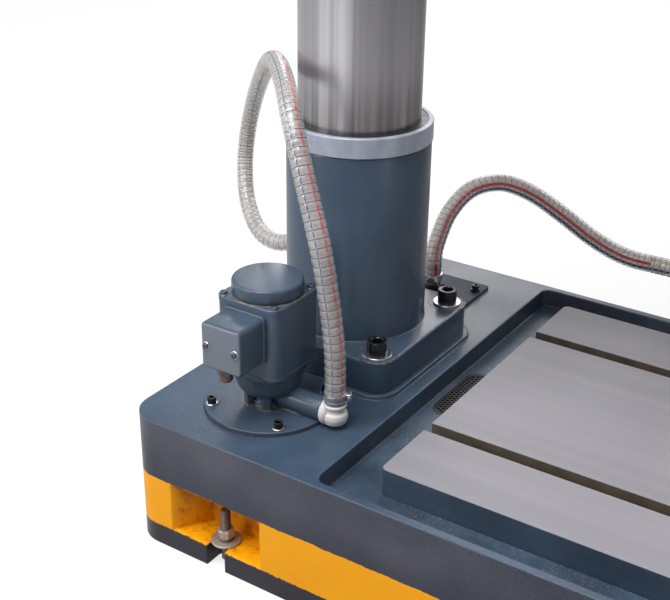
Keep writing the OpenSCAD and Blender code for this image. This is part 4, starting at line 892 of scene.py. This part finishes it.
motor = Shape().slab((102.6, 102.6), 15, 276, 279, 0.2, centre=PUMP)
motor.slab((104.6, 104.6), 14, 278.2, 281.6, 0.9, centre=PUMP, foot=0.9)
motor.slab((104, 104), 14, 281, PUMP_TOP, 2.4, centre=PUMP)
small, bright, crossed = Shape(), Shape(), Shape()
for x, y in corners(43, 43, PUMP):
    motor.lathe([(0, -7), (7.5, -7), (7.5, 0.6), (6.8, 1.2), (0, 1.2)], (x, y, PUMP_TOP), 32)
    pan_screw(crossed, (x, y, PUMP_TOP + 1.2), 5.4, 3.6)
for x, y in corners(83 * DIAGONAL, 83 * DIAGONAL, PUMP):
    washer(bright, (x, y, FLANGE_TOP), 8.6, 4, 1.6)
    socket_screw(small, (x, y, FLANGE_TOP + 1.6), 8.6, 9)
motor.make("pump_motor_body", "pump_paint", "pump_body")
cap = Shape().lathe(soften([(0, 387), (50.5, 387), (50.3, 407.8), (0, 408)], 4.5), PUMP_AT, 96)
cap.make("pump_motor_cap", "pump_paint", "pump_cap")

# Terminal box on the pump's left, its lid, seal, gland and screws
BOX_Z = 340
for y in (-24, 24):
    bright.lathe([(0, -335.4), (5.6, -335.4), (6.2, -334.6), (6.2, -333), (0, -333)], (0, y, BOX_Z), 28, "x")
    pan_screw(crossed, (-335.2, y, BOX_Z), 4.8, 3.2, TO_LEFT)
small.make("pump_screw_set", "black_oxide", "pump_screws")
bright.make("pump_washers", "zinc")
crossed.make("pump_cross_screws", "screw_steel", slot="zinc")


def box_part(size, x, depth, edge, foot, z):
    """A slab laid on its side, from x to the left."""
    return Shape().put(Shape().slab(size, 7, 0, depth, edge, foot=foot), (x, 0, z), TO_LEFT)


box_part((68, 67), -283.4, 50.6, 4.5, 0.6, BOX_Z).make("terminal_box_cast", "pump_paint", "terminal_box")
lid_frame = box_part((73, 71), -279.9, 4.7, 1.4, 0.5, BOX_Z + 1)
lid_frame.make("terminal_box_frame", "pump_paint", "box_lid", slot="pump_paint")
box_part((71, 69), -279, 1.1, 0.3, 0.3, BOX_Z + 1).make("terminal_gasket", "rubber", "box_gasket")
gland = Shape().loft([hexagon(21, 291), hexagon(22, 292), hexagon(22, 305), hexagon(21, 306.5)])
gland.lathe(soften([(0, 279), (6.5, 279), (9.5, 282), (9.5, 291.5), (0, 291.5)], 1), sides=32)
Shape().put(gland, (-311, 10, 0)).make("terminal_gland", "stud_steel", "cable_gland")

# White outlet elbow: its joint along Y, its neck upright, and the spigot in the hose
joint = [
    (0, -95.8), (15, -95.8), (19.5, -97.5), (20.5, -103), (18, -107.5),
    (14.5, -110), (14, -118), (10, -124), (0, -126),
]
neck = [
    (0, 212.5), (10, 212.5), (16, 216), (18.4, 224), (17.6, 231),
    (14.6, 234), (14.4, 239), (16.6, 241.5), (16.6, 245.8), (0, 246),
]
elbow = Shape().lathe(soften(joint, 2.2), (PUMP[0], 0, OUTLET_Z), 48, "y")
elbow.lathe(soften(neck, 2), (PUMP[0], OUTLET_Y, 0), 48)
elbow.lathe([(0, 245), (11, 245), (11.0, 275), (0, 276)], (PUMP[0], OUTLET_Y, 0), 32)
elbow.make("outlet_elbow", "white_plastic", "hose_elbow")

# Worm drive clamps: slotted band, raised housing and a screw
RETURN = (226, -12)
lips = [(16.2, 0.2), (16.2, 2.2), (15.7, 2.4), (15.7, 9.6), (16.2, 9.8), (16.2, 11.8)]
clamp = Shape().lathe([(15.05, 0), *lips, (15.05, 12)], sides=60)
tooth = Shape().slab((0.8, 1.2), 0.2, 2, 10, 0.1, centre=(15.9, 0))
for k in range(40):
    clamp.put(tooth, side=turned(24 + 8 * k))
clamp.slab((7, 13), 1.5, 0.4, 11.6, 1.2, centre=(19, 0), foot=1.2)
worm = [hexagon(6.4, -11), hexagon(7, -10.4), hexagon(7, -6.4), circle(2.6, -6.2), circle(2.6, 8.5)]
clamp.put(Shape().loft(worm), (19.4, 0, 6), TO_FRONT)
clamps = Shape()
for at, towards in (((PUMP[0], OUTLET_Y, 250), -60), ((*RETURN, 234), 200), ((-180, 122, 1715), 90)):
    clamps.put(clamp, at, turned(towards))
clamps.make("worm_clamps", "zinc", "hose_clamps")

# Anchors: studs with thread, nuts and washers
SEAT_Z = 37.6
thread = [(0, 3), (6.2, 3)]
for k in range(41):
    thread += [(7.3, 4.4 + 2 * k), (6.5, 5.4 + 2 * k)]
thread += [(6.9, 86.6), (6.2, 88), (0, 88)]
nut = Shape().loft([circle(10.4, 4), hexagon(22, 5.4), hexagon(22, 16.6), circle(10.4, 18), circle(7.2, 18)])
studs, nuts = Shape(), Shape()
for x, y in corners(340, 300, (0, -304)):
    studs.lathe(thread, (x, y, 0), 32)
    nuts.put(nut, (x, y, SEAT_Z), Matrix.Rotation(0.35 + math.copysign(0.5, x), 4, "Z"))
    washer(studs, (x, y, SEAT_Z), 11.5, 7.4, 3.8)
    washer(nuts, (x, y, SEAT_Z - 3.5), 22, 7.6, 3.4)
studs.make("anchor_stud_set", "stud_steel", "anchor_bolts")
nuts.make("anchor_nut_set", "worn_steel", "anchor_washers")

# Tank cover, its screws and the return fitting
COVER_TOP = 213.6
cover = Shape().slab((140, 172), 5, 208.05, COVER_TOP, 1.0, centre=(226, 0))
cover.make("tank_cover", "cover_paint", "tank_cover_plate")
cover_set = Shape()
for x, y in corners(39, 75, (226, 0)):
    cover_set.put(Shape().loft([hexagon(14, 0), hexagon(14, 3.6)]), (x, y, COVER_TOP))
    socket_screw(cover_set, (x, y, COVER_TOP + 3.4), 8, 8)
cover_set.make("cover_screw_set", "black_oxide", "cover_screws")
union = Shape().loft(
    [circle(16.2, 0), hexagon(34, 1.4), hexagon(34, 12.6), circle(16.2, 14), circle(11, 14.2)]
)
fitting = Shape().put(union, (*RETURN, COVER_TOP + 0.2))
fitting.lathe([(0, 190), (11, 190), (11, 260), (0, 260)], (*RETURN, 0), 32)
fitting.make("return_union", "dark_steel", "return_fitting")

# Strainer: a sheet of round holes in staggered rows, set in a rim
STRAINER = (0, -197)
HOLE_PITCH = 7.0
rim_out = rounded_loop((141.4, 45.4), 22.7, 0, 174.2, STRAINER)
rim_in = rounded_loop((132, 36), 18, 0, 174.2, STRAINER)
lifted = [[(p[0], p[1], 176.8) for p in loop] for loop in (rim_out, rim_in)]
sheet = Shape().loft([rim_in, rim_out, *lifted, rim_in], closed=False)
cell_low, cell_top = (hexagon(HOLE_PITCH + 0.02, z, 12) for z in (174.4, 176))
hole_low, hole_top = (circle(2.5, z, 12) for z in (174.4, 176))
cell = Shape().loft([cell_low, cell_top, hole_top, hole_low, cell_low], closed=False)
for row in range(-4, 5):
    for column in range(-11, 12):
        u = (column + 0.5 * (row % 2)) * HOLE_PITCH
        v = row * HOLE_PITCH * 0.866
        if math.hypot(max(abs(u) - 48, 0), v) <= 19.5:
            sheet.put(cell, (STRAINER[0] + u, STRAINER[1] + v, 0), turned(30))
sheet.make("strainer_sheet", "dark_steel", "strainer_grille", slot="black_oxide")

# T-slotted blocks with rounded outer corners, narrower beside the slots' feet
blocks = Shape()
for x0, x1, inner0, inner1, radii in (
    (-293, -179, -293, -186.5, (1.5, 10, 10, 1.5)),
    (-157, 157, -149.5, 149.5, (1.5, 1.5, 1.5, 1.5)),
    (179, 293, 186.5, 293, (10, 1.5, 1.5, 10)),
):
    for low, high, z0, z1, edge in ((x0, x1, 193, 218, 1.0), (inner0, inner1, 177, 193.2, 0.1)):
        blocks.slab((high - low, 470), radii, z0, z1, edge, centre=((low + high) / 2, -464))
blocks.make("slotted_blocks", "table_iron", "base_table")

# Head: rounded shell, cover with screws, oil glass and plug
HEAD_AT = (0, -200)
LID_TOP = 2036
SPINDLE_AT = (0, -420, 0)
FEED_AT = (150, -359, 1690)
OIL_GLASS_AT = (-150, -180, 1790)
PLUG_AT = (150, -40, 1760)
head = Shape().slab((300, 700), 30, 1640, 2018, 2, centre=HEAD_AT, foot=10)
head.slab((305, 705), 32, 1994, 2019.4, 2, centre=HEAD_AT, foot=2)
head.lathe(soften([(0, 1610), (65, 1610), (65, 1640), (72, 1648), (0, 1648)], 4), SPINDLE_AT)
head.lathe(soften([(0, 1622.4), (123.5, 1622.4), (123.5, 1645), (0, 1650)], 4))
for at, side, radius in ((FEED_AT, TO_RIGHT, 56), (OIL_GLASS_AT, TO_LEFT, 34), (PLUG_AT, TO_RIGHT, 26)):
    pad = Shape().lathe(soften([(0, -4), (radius, -4), (radius, 3.5), (0, 3.5)], 1.6), sides=60)
    head.put(pad, at, side)
head.make("head_shell", "machine_paint", "head_casting")

lid = Shape().slab((300, 700), 30, 2019.6, LID_TOP, 5, centre=HEAD_AT)
lid.lathe(soften([(0, 2030), (36, 2030), (36, 2042), (28, 2046), (28, 2140), (0, 2140)], 5), SPINDLE_AT)
lid.make("head_lid", "machine_paint", "head_cover")

head_screws = Shape()
for x in (-134, 134):
    for y in (-534, -380, -226, -72, 134):
        socket_screw(head_screws, (x, y, LID_TOP - 0.4), 8, 8)
for z in (1680, 1760):
    for y in (40, 100):
        socket_screw(head_screws, (-150, y, z), 12, 12, TO_LEFT)
hub_screws = Shape()
for k in range(6):
    angle = math.radians(60 * k + 30)
    socket_screw(hub_screws, (49.6 * math.cos(angle), 49.6 * math.sin(angle), 3.4), 6, 6)
head_screws.put(hub_screws, FEED_AT, TO_RIGHT)
plug = Shape().loft([hexagon(26, 3), hexagon(26, 11), circle(11, 12.4)])
head_screws.put(plug, PLUG_AT, TO_RIGHT)
head_screws.make("head_screw_set", "black_oxide")
bezel = Shape().lathe([(16, 3), (26, 3), (26, 7), (24.6, 8.6), (18, 8.6), (16, 7)], sides=60)
Shape().put(bezel, OIL_GLASS_AT, TO_LEFT).make("oil_glass_ring", "zinc")
window = Shape().lathe(soften([(0, 3), (17, 3), (17, 6), (0, 6.6)], 1), sides=48)
Shape().put(window, OIL_GLASS_AT, TO_LEFT).make("oil_glass", "guard_plastic")

# Head motor: finned frame, feet flange and terminal box
MOTOR_Y = -270
MOTOR_AT = (0, MOTOR_Y, 0)
WIRING_AT = (80, MOTOR_Y, 2141)
frame_line = [
    (0, LID_TOP), (110, LID_TOP), (110, 2051), (92, 2054), (87, 2062),
    (87, 2254), (92, 2254), (92, 2266), (0, 2266),
]
motor_frame = Shape().lathe(soften(frame_line, 2), MOTOR_AT)
fin = Shape().slab((15, 3.2), 0.8, 2058, 2250, 1.0, centre=(88.5, 0))
for angle in range(0, 360, 10):
    behind_wiring = abs(math.sin(math.radians(angle))) < 0.5 and math.cos(math.radians(angle)) > 0
    if not behind_wiring:
        motor_frame.put(fin, MOTOR_AT, turned(angle))
motor_frame.put(Shape().slab((90, 90), 8, 0, 57, 4, foot=0.5), WIRING_AT, TO_RIGHT)
motor_frame.make("motor_frame", "machine_paint", "head_motor")
motor_screws = Shape()
for x, y in corners(100 * DIAGONAL, 100 * DIAGONAL, (0, MOTOR_Y)):
    socket_screw(motor_screws, (x, y, 2052), 10, 10)
for y, z in corners(36, 36, WIRING_AT[1:]):
    pan_screw(motor_screws, (WIRING_AT[0] + 57, y, z), 4.5, 3, TO_RIGHT)
motor_screws.make("motor_screw_set", "black_oxide")

# Control panel with bezels, a lamp and a plain yellow ring under the emergency stop
PANEL_Z, BUTTON_Z, LAMP_Z = 1905, 1890, 1932
PANEL_FACE = -560
panel = Shape().put(Shape().slab((236, 110), 6, 0, 10, 2), (0, PANEL_FACE + 10, PANEL_Z), TO_FRONT)
panel.make("panel_plate", "black_plastic", "control_panel")
rim = Shape().lathe([(11.4, 0), (16, 0), (16, 2.2), (14.6, 3.4), (12.4, 3.4), (11.4, 2.4)], sides=48)
bezels = Shape()
for x in (-60, 0):
    bezels.put(rim, (x, PANEL_FACE, BUTTON_Z), TO_FRONT)
for x, z in corners(108, 45, (0, PANEL_Z)):
    pan_screw(bezels, (x, PANEL_FACE, z), 4.5, 3, TO_FRONT)
bezels.make("button_bezels", "zinc")
disc = Shape().lathe([(11.4, 0), (30, 0), (30, 0.8), (29.4, 1.2), (11.4, 1.2)], sides=64)
stop_ring = Shape().put(disc, (70, PANEL_FACE, BUTTON_Z), TO_FRONT)
stop_ring.make("stop_ring", "yellow_plastic", slot="red_plastic")
dome = Shape().lathe(soften([(0, 0), (10, 0), (10, 5), (7, 8), (0, 9)], 1.5), sides=40)
Shape().put(dome, (-60, PANEL_FACE, LAMP_Z), TO_FRONT).make("pilot_lamp", "white_plastic")

# Screws that hold the gear cover of the arm
arm_screws = Shape()
for y in (-128, -50, 28):
    for z in (914, 1019):
        socket_screw(arm_screws, (192, y, z), 6, 6, TO_RIGHT)
arm_screws.make("gear_cover_screws", "black_oxide", body="arm")

# Every CAD node that still shows gets the finish of its slot, or one of its own
slots = {part["node"]: part["material_slot"] for part in frame["record"]["subparts"]}
own_finish = {"base_casting": "base_paint", "column_tube": "column_steel"}
for name, piece in nodes.items():
    piece.data.materials.clear()
    piece.data.materials.append(looks[own_finish.get(name, slots[name])])


# Studio
def area_light(name, place, target, size, power):
    data = bpy.data.lights.new(name, "AREA")
    data.shape = "RECTANGLE"
    data.size, data.size_y = size
    data.energy = power
    lamp = bpy.data.objects.new(name, data)
    lamp.location = place
    lamp.rotation_euler = (Vector(target) - Vector(place)).to_track_quat("-Z", "Y").to_euler()
    scene_objects.link(lamp)


area_light("top", (-1.7, 0.1, 4.2), (-0.1, -0.1, 0.2), (2.4, 2.8), 200)
area_light("left", (-3.4, 2.2, 2.8), (0, 0, 0.5), (1.2, 3.0), 96)
area_light("front", (-1.1, -4.4, 2.2), (0, -0.3, 0.7), (0.9, 2.6), 15)
area_light("right", (3.4, 1.8, 2.8), (0, 0, 0.8), (2.0, 2.8), 66)
area_light("far", (4.0, -0.8, 2.8), (0, 0, 0.5), (1.4, 2.0), 55)
area_light("rear", (-1.4, 3.6, 2.4), (0, 0, 0.6), (1.8, 2.4), 34)

# The world: white to the camera and through clear things, dimmer in reflections and as light
WORLD_LIGHT = 0.2
WORLD_IN_GLOSS = 0.22
world = bpy.data.worlds.new("studio")
bpy.context.scene.world = world
world.use_nodes = True
sky = Nodes(world.node_tree)
background = sky.tree.nodes["Background"]
rays = sky.node("LightPath").outputs
seen = sky.most(rays["Is Camera Ray"], rays["Is Transmission Ray"])
values = {0: rays["Is Glossy Ray"], 1: WORLD_IN_GLOSS, 2: seen}
seen_or_gloss = sky.node("Math", values, operation="MULTIPLY_ADD", use_clamp=True).outputs[0]
level = sky.node("MapRange", {"Value": seen_or_gloss, "To Min": WORLD_LIGHT}).outputs[0]
sky.put(background.inputs["Strength"], level)
sky.put(background.inputs["Color"], (1, 1, 1))

# The floor: pale, white to the camera far out, and a white card behind the machine in reflections
FLOOR = 14.0
CARD_X, CARD_Y = -0.29, 0.958
floor_mesh = bpy.data.meshes.new("floor")
floor_mesh.from_pydata([(x, y, 0) for x, y in corners(FLOOR, FLOOR)], [], [(0, 2, 3, 1)])
floor = bpy.data.objects.new("floor", floor_mesh)
scene_objects.link(floor)
pale = Look("pale_floor")
rays = pale.node("LightPath").outputs
sight = rays["Is Camera Ray"]
floor_x, floor_y, _ = pale.axes()
behind = pale.plus(pale.times(floor_y, CARD_Y), pale.times(floor_x, CARD_X))
card = pale.times(rays["Is Glossy Ray"], pale.span(behind, -0.03, 0.03, 0, 0.5))
pale.finish(pale.mix(sight, (0.38, 0.38, 0.38), (0.86, 0.86, 0.86)), 0.8)
whiteness = pale.span(pale.length(pale.place), 1.2, 5.0, 0.75, 1.0)
glow = pale.node("Emission", {"Strength": 1.0}).outputs[0]
share = pale.plus(pale.times(sight, whiteness), card)
lit = pale.node("MixShader", {0: share, 1: pale.shader.outputs[0], 2: glow}).outputs[0]
pale.put(pale.tree.nodes["Material Output"].inputs["Surface"], lit)
floor_mesh.materials.append(pale.material)

bpy.context.scene.view_settings.view_transform = "Standard"
